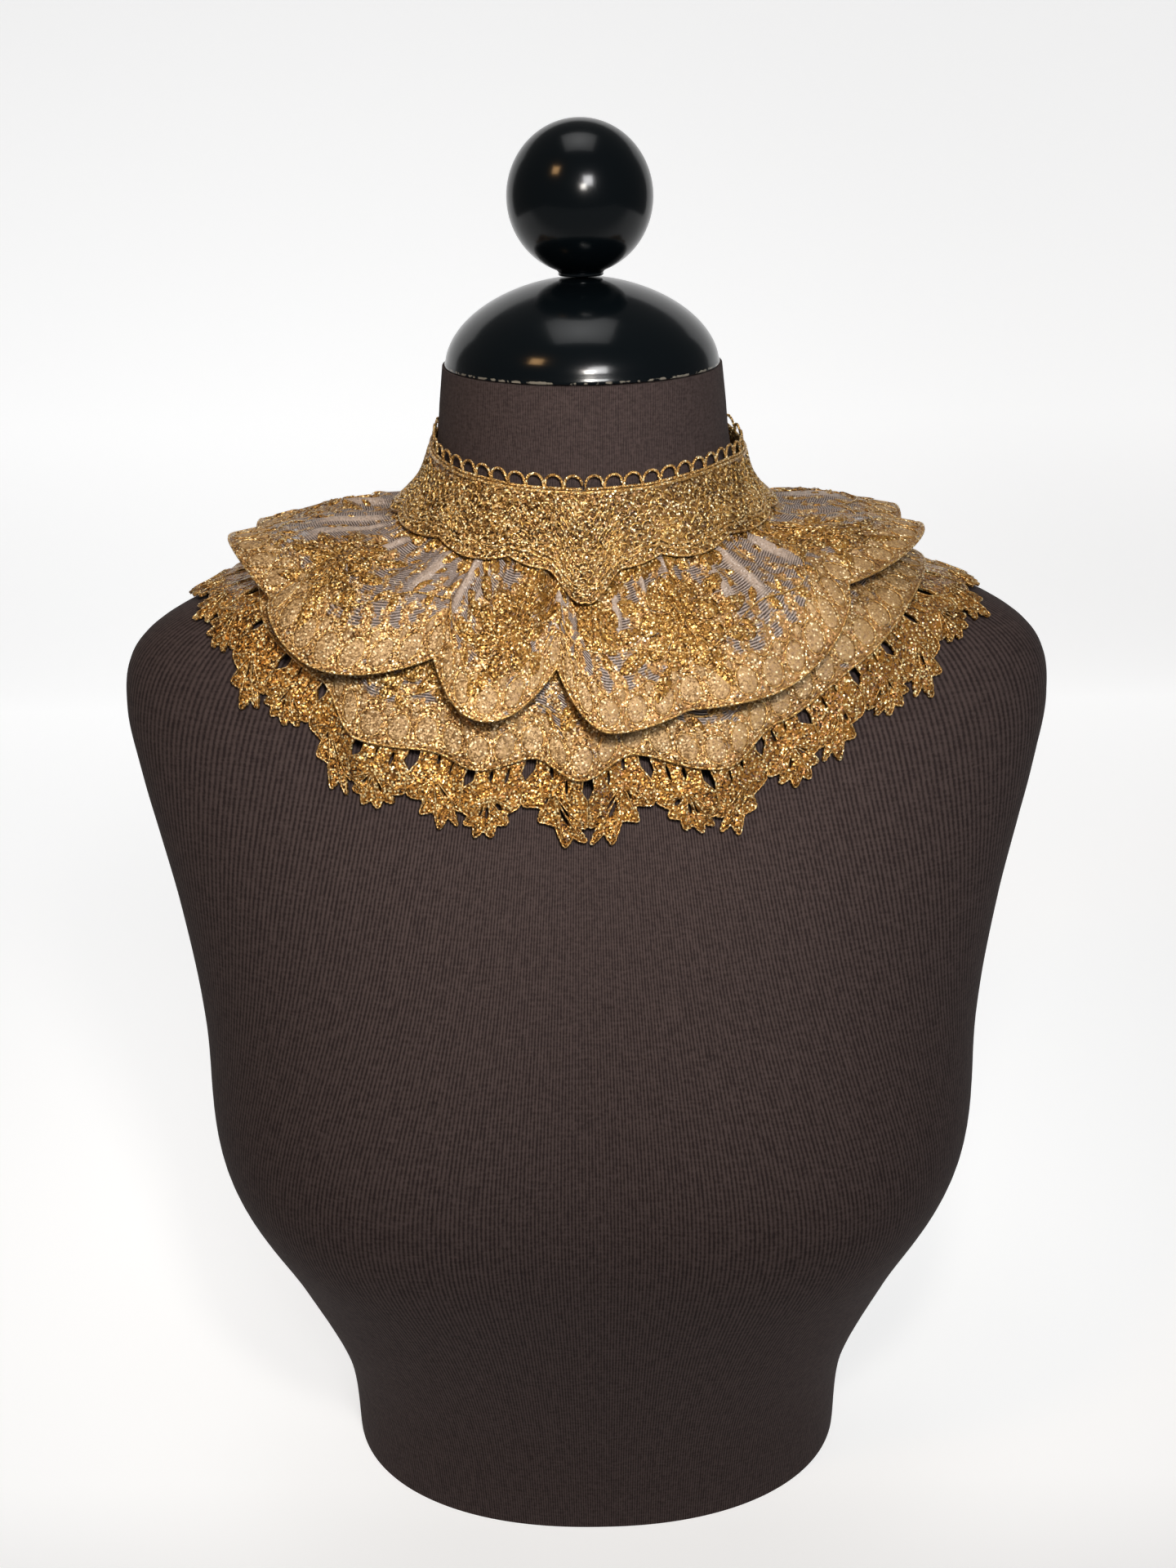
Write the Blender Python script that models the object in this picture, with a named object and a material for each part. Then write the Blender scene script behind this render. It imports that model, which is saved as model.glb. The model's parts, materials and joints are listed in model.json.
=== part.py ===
"""A gold lace neckpiece on a limbless dress form.

Metres, +Z up, the front towards -Y, the origin at the centre of the form's flat base.
Sizes are written in millimetres and scaled once, where an object is made.

Every piece of cloth is a wall laid over the form. A point of it has an angle round the
neck (0 at the front, positive towards +X), a distance down the form's surface from the
foot of the neck, and a lift off that surface.
"""

import math
from collections import namedtuple

import bmesh
import bpy
import numpy as np

MM = 0.001
SEAM = 0.3

# The form: a ring for each height. Slope tilts a ring down towards the front.
Ring = namedtuple("Ring", "height half_width front back slope squareness")
RINGS = [
    Ring(0, 115, 88, 76, 0.00, 2.20),
    Ring(45, 119, 93, 82, 0.00, 2.20),
    Ring(100, 140, 103, 93, 0.00, 2.25),
    Ring(160, 163, 110, 102, 0.00, 2.30),
    Ring(220, 169, 105, 108, 0.00, 2.35),
    Ring(275, 178, 93, 110, 0.00, 2.45),
    Ring(325, 189, 80, 104, 0.00, 2.45),
    Ring(357, 194, 73, 97, 0.00, 2.35),
    Ring(380, 189, 68, 90, 0.02, 2.20),
    Ring(396, 169, 64, 83, 0.05, 2.10),
    Ring(408, 134, 61, 77, 0.08, 2.00),
    Ring(419, 101, 58.5, 72, 0.11, 2.00),
    Ring(431, 76, 56.5, 66, 0.13, 2.00),
    Ring(444, 64, 56, 61, 0.14, 2.00),
    Ring(461, 59.5, 57.5, 57, 0.14, 2.00),
    Ring(479, 57.5, 59.5, 54, 0.13, 2.00),
    Ring(492, 56, 60, 52.5, 0.12, 2.00),
]
FOOT_RING = 12
BUST_HEIGHT = 168
BUST_SPREAD = 62
BUST_ANGLE = math.radians(38)
BUST_WIDTH = math.radians(30)
BUST_RISE = 27
FORM_COLUMNS = 36
STEPS_PER_RING = [1, 2, 2, 2, 2, 2, 2, 2, 2, 1, 1, 1, 1, 1, 1, 1]
PROFILE_STEPS = 900

# The neck cap and the ball finial that stands on it.
CAP_RADIUS = 54.5
CAP_HEIGHT = 33
CAP_FULLNESS = 1.85
CAP_CENTRE_Y = -3.7
BALL_RADIUS = 28.2
BALL_FOOT_RADIUS = 9.5
BALL_FOOT_DROP = 2
TURNED_SEGMENTS = 28
WELD = 0.001

# The neckband: its upper and lower edges, as distances down the form.
Edge = namedtuple("Edge", "angle distance")
BAND_TOP = [
    Edge(0, -23.7), Edge(25, -24.7), Edge(50, -28), Edge(70, -32.5), Edge(90, -37),
    Edge(120, -40), Edge(180, -42),
]
BAND_FOOT = [Edge(0, 3), Edge(40, 2), Edge(65, -2), Edge(90, -4), Edge(180, -3)]
BAND_POINTS = 14
BAND_POINT_DEPTH = 4
BAND_CENTRE_POINT = 17
BAND_CENTRE_HALF_ANGLE = 13
BAND_THICK = 1.5
BAND_LIFT_AT_TOP = 1.0
SLACK_ANGLE = 92
SLACK_SPREAD = 22
SLACK_LIFT = 3.5
SLACK_DROP = 5
BAND_OVER_RUFFLE = 0.7
BAND_TURN = -11
BAND_COLUMNS = 56
BAND_ROWS = 4
BACK_OPENING = 0.5

# The loop edging: a row of thread arches that stand on the band.
LOOPS_PER_SIDE = 25
LOOP_HEIGHT = 6.3
LOOP_THREAD = 1.5
LOOP_THICK = 1.2
LOOP_INSET = 0.1
LOOP_COLUMNS = [0.0, 0.2, 0.44, 0.76]

# The ruffles' edges: their waves, as distances down the form and rises off it.
Wave = namedtuple("Wave", "angle distance rise")

# The lower ruffle, which lies nearest the form.
LOWER_EDGE = [
    Wave(-180, 80, 2), Wave(-163, 82, 4), Wave(-147, 78, 0), Wave(-130, 82, 4), Wave(-114, 76, 0),
    Wave(-100, 73, 3), Wave(-88, 66, 0), Wave(-76, 63, 3), Wave(-66, 69, 1), Wave(-58, 70, 0),
    Wave(-49, 83, 5), Wave(-37, 80, 1), Wave(-27, 84, 4), Wave(-14, 78, 0), Wave(-2, 86, 5),
    Wave(12, 77, 0), Wave(32, 86, 5), Wave(45, 75, 0), Wave(58, 68, 3), Wave(70, 67, 0),
    Wave(81, 67, 1), Wave(98, 68, 0), Wave(113, 79, 4), Wave(130, 78, 0), Wave(147, 82, 4),
    Wave(164, 79, 0),
    Wave(180, 80, 2),
]
LOWER_THICK = 1.2
LOWER_TOP = -2
LOWER_COLUMNS = 84
LOWER_ROWS = [0.0, 0.08, 0.18, 0.34, 0.56, 0.79, 1.0]
LOWER_LIFT_AT_TOP = 1.0
LOWER_LIFT = 4.9

# The gathered upper ruffle, which stands on the lower one.
UPPER_EDGE = [
    Wave(-180, 65, 2), Wave(-165, 69, 7), Wave(-150, 62, 0), Wave(-136, 70, 8), Wave(-121, 63, 0),
    Wave(-109, 69, 7), Wave(-97, 64, 1), Wave(-82, 67, 9), Wave(-68, 61, 0), Wave(-57, 65, 8),
    Wave(-38, 46, 0), Wave(-23, 65, 9), Wave(-8, 44, 0), Wave(6, 68, 9), Wave(24, 62, 4),
    Wave(39, 63, 7), Wave(62, 46, 0), Wave(84, 61, 6), Wave(97, 59, 0), Wave(110, 66, 8),
    Wave(122, 61, 0), Wave(136, 69, 8), Wave(150, 62, 0), Wave(165, 68, 7), Wave(180, 65, 2),
]
UPPER_THICK = 1.3
UPPER_TOP = -9
UPPER_COLUMNS = 132
UPPER_ROWS = [0.0, 0.13, 0.27, 0.44, 0.63, 0.82, 1.0]
UPPER_STAND_AT_TOP = 1.0
UPPER_STAND_FRONT = 3.5
UPPER_STAND_SIDE = 6.5
UPPER_STAND_BACK = 13
UPPER_RISE_DISTANCE = 45
GATHERS = 33
GATHER_DEPTH = 1.7
GATHER_CENTRE = 13
GATHER_SPREAD = 9

# The leaf edging: pairs of leaves, one pointed and one fan-shaped, on a header strip.
LEAF_PAIRS_PER_SIDE = 10
LEAF_THICK = 1.2
LEAF_MEASURED_AT = 88
LEAF_HEADER = (-7, -1)
LEAF_SHOULDER = 4.5
LEAF_TOUCH = (9, 15)
LEAF_LENGTH = 27.5
LEAF_SWAY = 1.5
LEAF_TIP_LIFT = 1.7
LEAF_UNDER_LOWER = 1.5
LEAF_SLANT = 4
LEAF_SLANT_TAPER = 18
HALF_SEAM_ANGLE = 0.15
Leaf = namedtuple("Leaf", "width gap lean longer teeth tooth point")
POINTED_LEAF = Leaf(0.49, 2.9, -3.5, 2, 5, 0.28, 0.35)
FAN_LEAF = Leaf(0.51, 3.3, 2.0, -2, 6, 0.22, 0.12)

# The hooks that close the back of the band.
HOOK_DOWN = [-34, -20]
HOOK_HALF_WIDTH = 6.5
HOOK_HALF_HEIGHT = 1.9
HOOK_WIRE = 0.45


def clear_scene():
    for old in list(bpy.data.objects):
        bpy.data.objects.remove(old, do_unlink=True)


def make_material(name, colour, roughness, metallic):
    """A Principled material; colour is linear red, green, blue."""
    material = bpy.data.materials.new(name)
    material.use_nodes = True
    shader = material.node_tree.nodes["Principled BSDF"]
    shader.inputs["Base Color"].default_value = (*colour, 1.0)
    shader.inputs["Roughness"].default_value = roughness
    shader.inputs["Metallic"].default_value = metallic
    return material


def add_mesh(name, points, faces, material):
    """Makes an object from points in millimetres."""
    mesh = bpy.data.meshes.new(name)
    mesh.from_pydata([tuple(point) for point in np.asarray(points) * MM], [], faces)
    mesh.materials.append(material)
    mesh.validate()
    mesh.shade_smooth()
    mesh.set_sharp_from_angle(angle=math.radians(40))
    made = bpy.data.objects.new(name, mesh)
    bpy.context.scene.collection.objects.link(made)
    return made


def smooth_step(value):
    """0 below 0, 1 above 1, and an S-curve between."""
    share = np.clip(value, 0, 1)
    return share * share * (3 - 2 * share)


def ring_values(level):
    """The rings' columns at each level, 0 at the base and 1 at the rim, on a smooth curve."""
    table = np.array(RINGS, float)
    last = len(table) - 1
    place = np.clip(level, 0, 1) * last
    index = np.clip(place.astype(int), 0, last - 1)
    share = (place - index)[..., None]
    before = table[np.clip(index - 1, 0, last)]
    here = table[index]
    after = table[index + 1]
    beyond = table[np.clip(index + 2, 0, last)]
    bend = 2 * before - 5 * here + 4 * after - beyond
    twist = 3 * here - before - 3 * after + beyond
    return 0.5 * (2 * here + (after - before) * share + bend * share**2 + twist * share**3)


def form_surface(angle, level):
    """Points of the form: superellipse rings, with two soft mounds at the bust."""
    height, half_width, front, back, slope, squareness = np.moveaxis(ring_values(level), -1, 0)
    depth = np.where(np.cos(angle) > 0, front, back)
    across = np.abs(np.sin(angle) / half_width) ** squareness
    along = np.abs(np.cos(angle) / depth) ** squareness
    radius = (across + along) ** (-1 / squareness)
    turned = (angle + math.pi) % (2 * math.pi) - math.pi
    mounds = sum(
        np.exp(-(((turned - side * BUST_ANGLE) / BUST_WIDTH) ** 2)) for side in (-1, 1)
    )
    radius = radius + BUST_RISE * mounds * np.exp(-(((height - BUST_HEIGHT) / BUST_SPREAD) ** 2))
    y = -radius * np.cos(angle)
    return np.stack([radius * np.sin(angle), y, height + slope * y], -1)


def profile_at(angle):
    """Down the form at one angle: distance from the neck's foot, radius, height and normal."""
    level = np.linspace(1, 0, PROFILE_STEPS)
    line = form_surface(np.full_like(level, angle), level)
    radius = np.hypot(line[:, 0], line[:, 1])
    height = line[:, 2]
    travel = np.concatenate([[0], np.cumsum(np.hypot(np.diff(radius), np.diff(height)))])
    foot = 1 - FOOT_RING / (len(RINGS) - 1)
    travel = travel - np.interp(foot, 1 - level, travel)
    out = -np.gradient(height, travel)
    up = np.gradient(radius, travel)
    size = np.hypot(out, up)
    return travel, radius, height, out / size, up / size


def over_form(angle, down, lift):
    """Points at these angles (degrees), distances down the form, and lifts off it."""
    points = np.zeros((len(angle), 3))
    for turn in np.unique(angle):
        chosen = angle == turn
        travel, radius, height, out, up = profile_at(math.radians(turn))
        reach, z, out_here, up_here = (
            np.interp(down[chosen], travel, column) for column in (radius, height, out, up)
        )
        reach = reach + lift[chosen] * out_here
        z = z + lift[chosen] * up_here
        side = math.sin(math.radians(turn))
        ahead = math.cos(math.radians(turn))
        points[chosen] = np.stack([reach * side, -reach * ahead, z], -1)
    return points


def add_wall(name, flat, faces, lift, thick, material):
    """A cloth wall over the form.

    flat holds each point's angle and distance down, and faces turn anticlockwise seen
    with the angle to the right and down the form downwards. The wall is closed along
    every edge that only one face uses, so a hole in the faces is a hole in the cloth.
    """
    flat = np.asarray(flat, float)
    count = len(flat)
    outer = over_form(flat[:, 0], flat[:, 1], lift + thick)
    inner = over_form(flat[:, 0], flat[:, 1], lift)
    edges = {}
    for face in faces:
        for start, end in zip(face, face[1:] + face[:1]):
            edges[(start, end)] = edges.get((start, end), 0) + 1
    rims = [(start, end) for start, end in edges if (end, start) not in edges]
    shell = [tuple(face) for face in faces]
    shell += [tuple(count + index for index in reversed(face)) for face in faces]
    shell += [(end, start, count + start, count + end) for start, end in rims]
    return add_mesh(name, np.concatenate([outer, inner]), shell, material)


def grid_faces(columns, rows):
    """Quads of a grid whose points run row by row, with the first row at the top."""
    faces = []
    for row in range(rows):
        for column in range(columns):
            top = row * (columns + 1) + column
            low = top + columns + 1
            faces.append([top, low, low + 1, top + 1])
    return faces


def edge_at(table, angle):
    """A distance from a table of edges, the same on both sides of the front."""
    angles = [row.angle for row in table]
    return np.interp(np.abs(angle), angles, [row.distance for row in table])


def wave_at(table, angle, sharp):
    """The edge's distance and rise at an angle, and its valleys sharp or round."""
    angles = np.array([wave.angle for wave in table], float)
    index = np.clip(np.searchsorted(angles, angle, side="right") - 1, 0, len(table) - 2)
    share = np.clip((angle - angles[index]) / (angles[index + 1] - angles[index]), 0, 1)
    rises = np.array([wave.rise for wave in table], float)
    climbs = rises[index + 1] > rises[index]
    from_valley = np.where(climbs, share, 1 - share)
    bend = np.sin(0.5 * math.pi * from_valley) if sharp else smooth_step(from_valley)
    blend = np.where(climbs, bend, 1 - bend)
    distances = np.array([wave.distance for wave in table], float)
    distance = distances[index] + (distances[index + 1] - distances[index]) * blend
    return distance, rises[index] + (rises[index + 1] - rises[index]) * blend


def lower_lift(angle, down):
    """The lower ruffle's inner lift."""
    reach, rise = wave_at(LOWER_EDGE, angle, sharp=False)
    lift = LOWER_LIFT_AT_TOP + (LOWER_LIFT - LOWER_LIFT_AT_TOP) * smooth_step(down / 30)
    return lift + rise * np.clip(down / reach, 0, 1) ** 2


def leaf_lift(angle, down):
    """The leaf edging's inner lift: under the lower ruffle, then down onto the form."""
    under = lower_lift(angle, down) - LEAF_THICK - LEAF_UNDER_LOWER
    reach, _ = wave_at(LOWER_EDGE, angle, sharp=False)
    settle = smooth_step((down - reach - 3) / 20)
    return under + (LEAF_TIP_LIFT - under) * settle


def upper_envelope(angle, down):
    """The upper ruffle's inner lift without its gathers, clear of the lower ruffle."""
    side = np.sin(np.radians(angle)) ** 2
    ends = np.where(np.abs(angle) < 90, UPPER_STAND_FRONT, UPPER_STAND_BACK)
    full = ends + (UPPER_STAND_SIDE - ends) * side
    spring = 1 - (1 - np.clip(down / UPPER_RISE_DISTANCE, 0, 1)) ** 2
    stand = UPPER_STAND_AT_TOP + (full - UPPER_STAND_AT_TOP) * spring
    reach, rise = wave_at(UPPER_EDGE, angle, sharp=True)
    wave = rise * np.clip(down / reach, 0, 1.2) ** 1.3
    return lower_lift(angle, np.maximum(down, 0)) + LOWER_THICK + stand + wave


def upper_lift(angle, down):
    """The upper ruffle's inner lift: the envelope, pressed in by the gathers."""
    ridge = 0.5 + 0.5 * np.cos(np.radians(angle) * GATHERS)
    where = np.exp(-(((down - GATHER_CENTRE) / GATHER_SPREAD) ** 2))
    return upper_envelope(angle, down) - GATHER_DEPTH * ridge * where


def band_slack(angle):
    """How loose the band hangs, from 0 where it hugs the neck to 1 at its loosest side."""
    return np.exp(-(((angle - SLACK_ANGLE) / SLACK_SPREAD) ** 2))


def band_top(angle):
    """The band's upper edge, which drops where the band is loose."""
    return edge_at(BAND_TOP, angle) + SLACK_DROP * band_slack(angle)


def band_top_lift(angle):
    """The inner lift of the band's upper edge."""
    return BAND_LIFT_AT_TOP + SLACK_LIFT * band_slack(angle)


def band_lift(angle, down):
    """The band's inner lift: near the neck at the top, over the ruffle at its foot."""
    top = band_top(angle)
    top_lift = band_top_lift(angle)
    gap = UPPER_THICK + BAND_OVER_RUFFLE
    over = upper_envelope(angle, np.maximum(down, UPPER_TOP)) + gap
    at_turn = upper_envelope(angle, np.full_like(down, UPPER_TOP)) + gap
    share = np.clip((down - top) / (BAND_TURN - top), 0, 1)
    return np.where(down > BAND_TURN, over, top_lift + (at_turn - top_lift) * share)


def band_foot(angle):
    """The band's lower edge: small points all round, and a long one at the front."""
    small = np.abs(np.sin(np.radians(angle) * BAND_POINTS / 2)) ** 0.8
    centre = np.clip(1 - np.abs(angle) / BAND_CENTRE_HALF_ANGLE, 0, 1)
    return edge_at(BAND_FOOT, angle) + BAND_POINT_DEPTH * small + BAND_CENTRE_POINT * smooth_step(centre)


def build_form(jersey):
    """The torso of the dress form, closed by its flat base and the plane of the neck."""
    levels = [0.0]
    for ring, steps in enumerate(STEPS_PER_RING):
        levels += [(ring + (step + 1) / steps) / len(STEPS_PER_RING) for step in range(steps)]
    angle = np.arange(FORM_COLUMNS) * 2 * math.pi / FORM_COLUMNS
    turns, rises = np.meshgrid(angle, levels)
    points = form_surface(turns, rises).reshape(-1, 3)
    faces = []
    for row in range(len(levels) - 1):
        for column in range(FORM_COLUMNS):
            here = row * FORM_COLUMNS + column
            beside = row * FORM_COLUMNS + (column + 1) % FORM_COLUMNS
            faces.append((here, beside, beside + FORM_COLUMNS, here + FORM_COLUMNS))
    top = (len(levels) - 1) * FORM_COLUMNS
    faces.append(tuple(reversed(range(FORM_COLUMNS))))
    faces.append(tuple(top + column for column in range(FORM_COLUMNS)))
    add_mesh("dress_form", points, faces, jersey)


def add_turned(name, profile, base, tilt, material):
    """A turned solid: (radius, height) points in millimetres spun round a tilted axis."""
    shape = bmesh.new()
    line = [shape.verts.new((radius * MM, 0, height * MM)) for radius, height in profile]
    edges = [shape.edges.new(pair) for pair in zip(line, line[1:])]
    bmesh.ops.spin(
        shape, geom=line + edges, cent=(0, 0, 0), axis=(0, 0, 1), angle=2 * math.pi,
        steps=TURNED_SEGMENTS, use_merge=True, use_duplicate=False,
    )
    bmesh.ops.remove_doubles(shape, verts=shape.verts, dist=WELD * MM)
    bmesh.ops.recalc_face_normals(shape, faces=shape.faces)
    mesh = bpy.data.meshes.new(name)
    shape.to_mesh(mesh)
    shape.free()
    mesh.materials.append(material)
    mesh.shade_smooth()
    mesh.set_sharp_from_angle(angle=math.radians(40))
    made = bpy.data.objects.new(name, mesh)
    bpy.context.scene.collection.objects.link(made)
    made.location = [value * MM for value in base]
    made.rotation_euler = (tilt, 0, 0)


def build_cap_and_ball(lacquer):
    """The domed neck cap, tilted as the neck is, and the ball that stands on it."""
    rim = RINGS[-1]
    tilt = math.atan(rim.slope)
    up = np.array([0, -math.sin(tilt), math.cos(tilt)])
    seat = np.array([0, CAP_CENTRE_Y, rim.height + rim.slope * CAP_CENTRE_Y]) + SEAM * up
    dome = [(0, 0)]
    for share in np.linspace(0, 1, 8):
        rise = math.sin(share * math.pi / 2)
        radius = (1 - rise**CAP_FULLNESS) ** (1 / CAP_FULLNESS) if share < 1 else 0
        dome.append((CAP_RADIUS * radius, CAP_HEIGHT * rise))
    add_turned("neck_cap", dome, seat, tilt, lacquer)
    start = math.asin(BALL_FOOT_RADIUS / BALL_RADIUS)
    ball = [(0, 0), (BALL_FOOT_RADIUS - 1, 0)]
    for turn in np.linspace(start, math.pi, 12):
        height = BALL_FOOT_DROP + BALL_RADIUS * (math.cos(start) - math.cos(turn))
        ball.append((BALL_RADIUS * math.sin(turn) if turn < math.pi else 0, height))
    foot = seat + (CAP_HEIGHT + SEAM) * up
    add_turned("ball_finial", ball, foot, tilt, lacquer)


def build_band(lace):
    """The neckband, open at the back, with a pointed lower edge."""
    angle = np.linspace(-180 + BACK_OPENING, 180 - BACK_OPENING, BAND_COLUMNS + 1)
    top = band_top(angle)
    foot = band_foot(angle)
    flat = []
    for share in np.linspace(0, 1, BAND_ROWS + 1):
        flat += list(zip(angle, top + (foot - top) * share))
    flat = np.array(flat)
    lift = band_lift(flat[:, 0], flat[:, 1])
    add_wall("neckband", flat, grid_faces(BAND_COLUMNS, BAND_ROWS), lift, BAND_THICK, lace)


def build_loops(lace):
    """The loop edging: a chain of arches that share their feet, half on each side."""
    span = 180 - BACK_OPENING
    pitch = (span - 0.2) / LOOPS_PER_SIDE
    for side, name in ((-1, "loop_edging_left"), (1, "loop_edging_right")):
        flat = []
        faces = []
        start = -span if side < 0 else 0.2
        for loop in range(LOOPS_PER_SIDE):
            for share in LOOP_COLUMNS:
                add_loop_column(flat, start + (loop + share) * pitch, share)
        add_loop_column(flat, start + LOOPS_PER_SIDE * pitch, 0.0)
        for column in range(LOOPS_PER_SIDE * len(LOOP_COLUMNS)):
            here = 3 * column
            faces.append([here, here + 1, here + 4, here + 3])
            if column % len(LOOP_COLUMNS) == 0:
                faces.append([here + 1, here + 2, here + 5, here + 4])
        flat = np.array(flat)
        lift = band_top_lift(flat[:, 0]) + LOOP_INSET
        add_wall(name, flat, faces, lift, LOOP_THICK, lace)


def add_loop_column(flat, angle, share):
    """Three points of one column of a loop: thread top, thread underside, and foot."""
    pillar = LOOP_COLUMNS[1]
    across = abs(2 * (share - pillar) / (1 - pillar) - 1) if share > pillar else 1.0
    arch = math.sqrt(max(0.0, 1 - across**2))
    foot = float(band_top(angle)) - SEAM
    top = foot - LOOP_HEIGHT * (0.62 + 0.38 * arch)
    flat.append((angle, top))
    flat.append((angle, top + LOOP_THREAD + 0.6 * (1 - arch)))
    flat.append((angle, foot))


def build_upper_ruffle(lace):
    """The gathered upper ruffle, with its folds."""
    angle = np.linspace(-180 + BACK_OPENING, 180 - BACK_OPENING, UPPER_COLUMNS + 1)
    reach, _ = wave_at(UPPER_EDGE, angle, sharp=True)
    flat = []
    for share in UPPER_ROWS:
        flat += list(zip(angle, UPPER_TOP + (reach - UPPER_TOP) * share))
    flat = np.array(flat)
    lift = upper_lift(flat[:, 0], flat[:, 1])
    faces = grid_faces(UPPER_COLUMNS, len(UPPER_ROWS) - 1)
    add_wall("upper_ruffle", flat, faces, lift, UPPER_THICK, lace)


def build_lower_ruffle(lace):
    """The flatter lower ruffle, which the leaf edging hangs from."""
    angle = np.linspace(-180 + BACK_OPENING, 180 - BACK_OPENING, LOWER_COLUMNS + 1)
    reach, _ = wave_at(LOWER_EDGE, angle, sharp=False)
    flat = []
    for share in LOWER_ROWS:
        flat += list(zip(angle, LOWER_TOP + (reach - LOWER_TOP) * share))
    flat = np.array(flat)
    lift = lower_lift(flat[:, 0], flat[:, 1])
    faces = grid_faces(LOWER_COLUMNS, len(LOWER_ROWS) - 1)
    add_wall("lower_ruffle", flat, faces, lift, LOWER_THICK, lace)


def leaf_rim(leaf, left, width, reach):
    """The leaf's free edge from its left touch to its right one: a fan with teeth.

    Distances down are from the lower ruffle's edge.
    """
    middle = left + width / 2
    top = LEAF_TOUCH[1]
    rim = [(left, top)]
    steps = 2 * leaf.teeth
    for step in range(1, steps):
        turn = math.pi * (step / steps - 0.5)
        size = 1 + leaf.point * math.cos(turn) ** 4
        size *= 1.0 if step % 2 else 1 - leaf.tooth
        across = size * (width / 2) * math.sin(turn) + leaf.lean * math.cos(turn)
        rim.append((middle + across, top + size * (reach - top) * math.cos(turn) / (1 + leaf.point)))
    return rim + [(left + width, top)]


def leaf_cell(leaf, left, width, reach):
    """Points and faces of one leaf: its piece of header, its stem and its toothed fan.

    left and width are where the cell lies along the edging, and reach is its tip. Cells
    share their header ends and the places where neighbouring leaves touch.
    """
    header_top, header_low = LEAF_HEADER
    right = left + width
    middle = left + width / 2
    header = [left, left + leaf.gap, right - leaf.gap, right]
    shoulder = [left + leaf.gap + 0.5, right - leaf.gap - 0.5]
    points = [(along, header_top) for along in header]
    points += [(along, header_low) for along in header]
    points += [(along, LEAF_SHOULDER) for along in shoulder]
    points += [(along, LEAF_TOUCH[0]) for along in (left, middle, right)]
    points += [(middle, LEAF_TOUCH[1])]
    points += leaf_rim(leaf, left, width, reach)
    last = len(points) - 1
    faces = [[0, 4, 5, 1], [1, 5, 6, 2], [2, 6, 7, 3], [5, 8, 9, 6]]
    faces += [[8, 10, 11], [8, 11, 9], [9, 11, 12]]
    faces += [[10, 14, 13, 11], [11, 13, last, 12]]
    faces += [[13, corner, corner + 1] for corner in range(14, last)]
    return points, faces


def edging_angles():
    """Lengths along the edging's line and the angles they belong to, from the front."""
    angle = np.linspace(0, 180 - BACK_OPENING, 400)
    line = over_form(angle, np.full_like(angle, LEAF_MEASURED_AT), np.full_like(angle, 3.0))
    length = np.concatenate([[0], np.cumsum(np.linalg.norm(np.diff(line, axis=0), axis=1))])
    return length, angle


def slanted(along, down, total):
    """Leans the leaves to one side below the header, less near the two ends."""
    share = smooth_step((down - LEAF_HEADER[1]) / (LEAF_TOUCH[1] - LEAF_HEADER[1]))
    ends = min(1.0, along / LEAF_SLANT_TAPER, (total - along) / LEAF_SLANT_TAPER)
    return along + LEAF_SLANT * share * max(0.0, ends)


def build_leaf_edging(lace):
    """The leaf edging, half on each side, each half one sheet cut through between leaves."""
    length, angles = edging_angles()
    total = length[-1]
    pair = total / LEAF_PAIRS_PER_SIDE
    for side, name in ((-1, "leaf_edging_left"), (1, "leaf_edging_right")):
        index_of = {}
        flat = []
        faces = []
        for number in range(LEAF_PAIRS_PER_SIDE * 2):
            leaf = (POINTED_LEAF, FAN_LEAF)[number % 2]
            left = (number // 2 + (number % 2) * POINTED_LEAF.width) * pair
            width = leaf.width * pair
            sway = LEAF_SWAY * math.sin(2.3 * number + side)
            points, cell_faces = leaf_cell(leaf, left, width, LEAF_LENGTH + leaf.longer + sway)
            indices = []
            for along, down in points:
                key = (round(along, 3), round(down, 3))
                if key not in index_of:
                    index_of[key] = len(flat)
                    place = float(slanted(along, down, total))
                    angle = side * max(HALF_SEAM_ANGLE, float(np.interp(place, length, angles)))
                    edge = float(wave_at(LOWER_EDGE, np.array([angle]), sharp=False)[0][0])
                    flat.append((angle, edge + down))
                indices.append(index_of[key])
            turned = cell_faces if side > 0 else [face[::-1] for face in cell_faces]
            faces += [[indices[corner] for corner in face] for face in turned]
        flat = np.array(flat)
        lift = leaf_lift(flat[:, 0], flat[:, 1])
        add_wall(name, flat, faces, lift, LEAF_THICK, lace)


def build_hooks(brass):
    """Two plain wire hooks that close the back of the band."""
    for number, down in enumerate(HOOK_DOWN):
        curve = bpy.data.curves.new(f"hook_{number + 1}", "CURVE")
        curve.dimensions = "3D"
        curve.bevel_depth = HOOK_WIRE * MM
        curve.bevel_resolution = 0
        curve.use_fill_caps = True
        curve.materials.append(brass)
        travel, radius, height, out, up = profile_at(math.pi)
        lift = float(band_lift(np.array([180.0]), np.array([float(down)]))[0])
        lift += BAND_THICK + HOOK_WIRE + SEAM + 0.15
        path = []
        for turn in np.linspace(0.12 * math.pi, 1.88 * math.pi, 14):
            across = HOOK_HALF_WIDTH * math.cos(turn)
            along = down + HOOK_HALF_HEIGHT * math.sin(turn)
            reach, z, out_here, up_here = (
                np.interp(along, travel, column) for column in (radius, height, out, up)
            )
            bow = across**2 / (2 * reach)
            path.append((across, reach + lift * out_here - bow, z + lift * up_here))
        spline = curve.splines.new("POLY")
        spline.points.add(len(path) - 1)
        for point, place in zip(spline.points, path):
            point.co = (*[value * MM for value in place], 1)
        made = bpy.data.objects.new(f"hook_{number + 1}", curve)
        bpy.context.scene.collection.objects.link(made)


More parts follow.
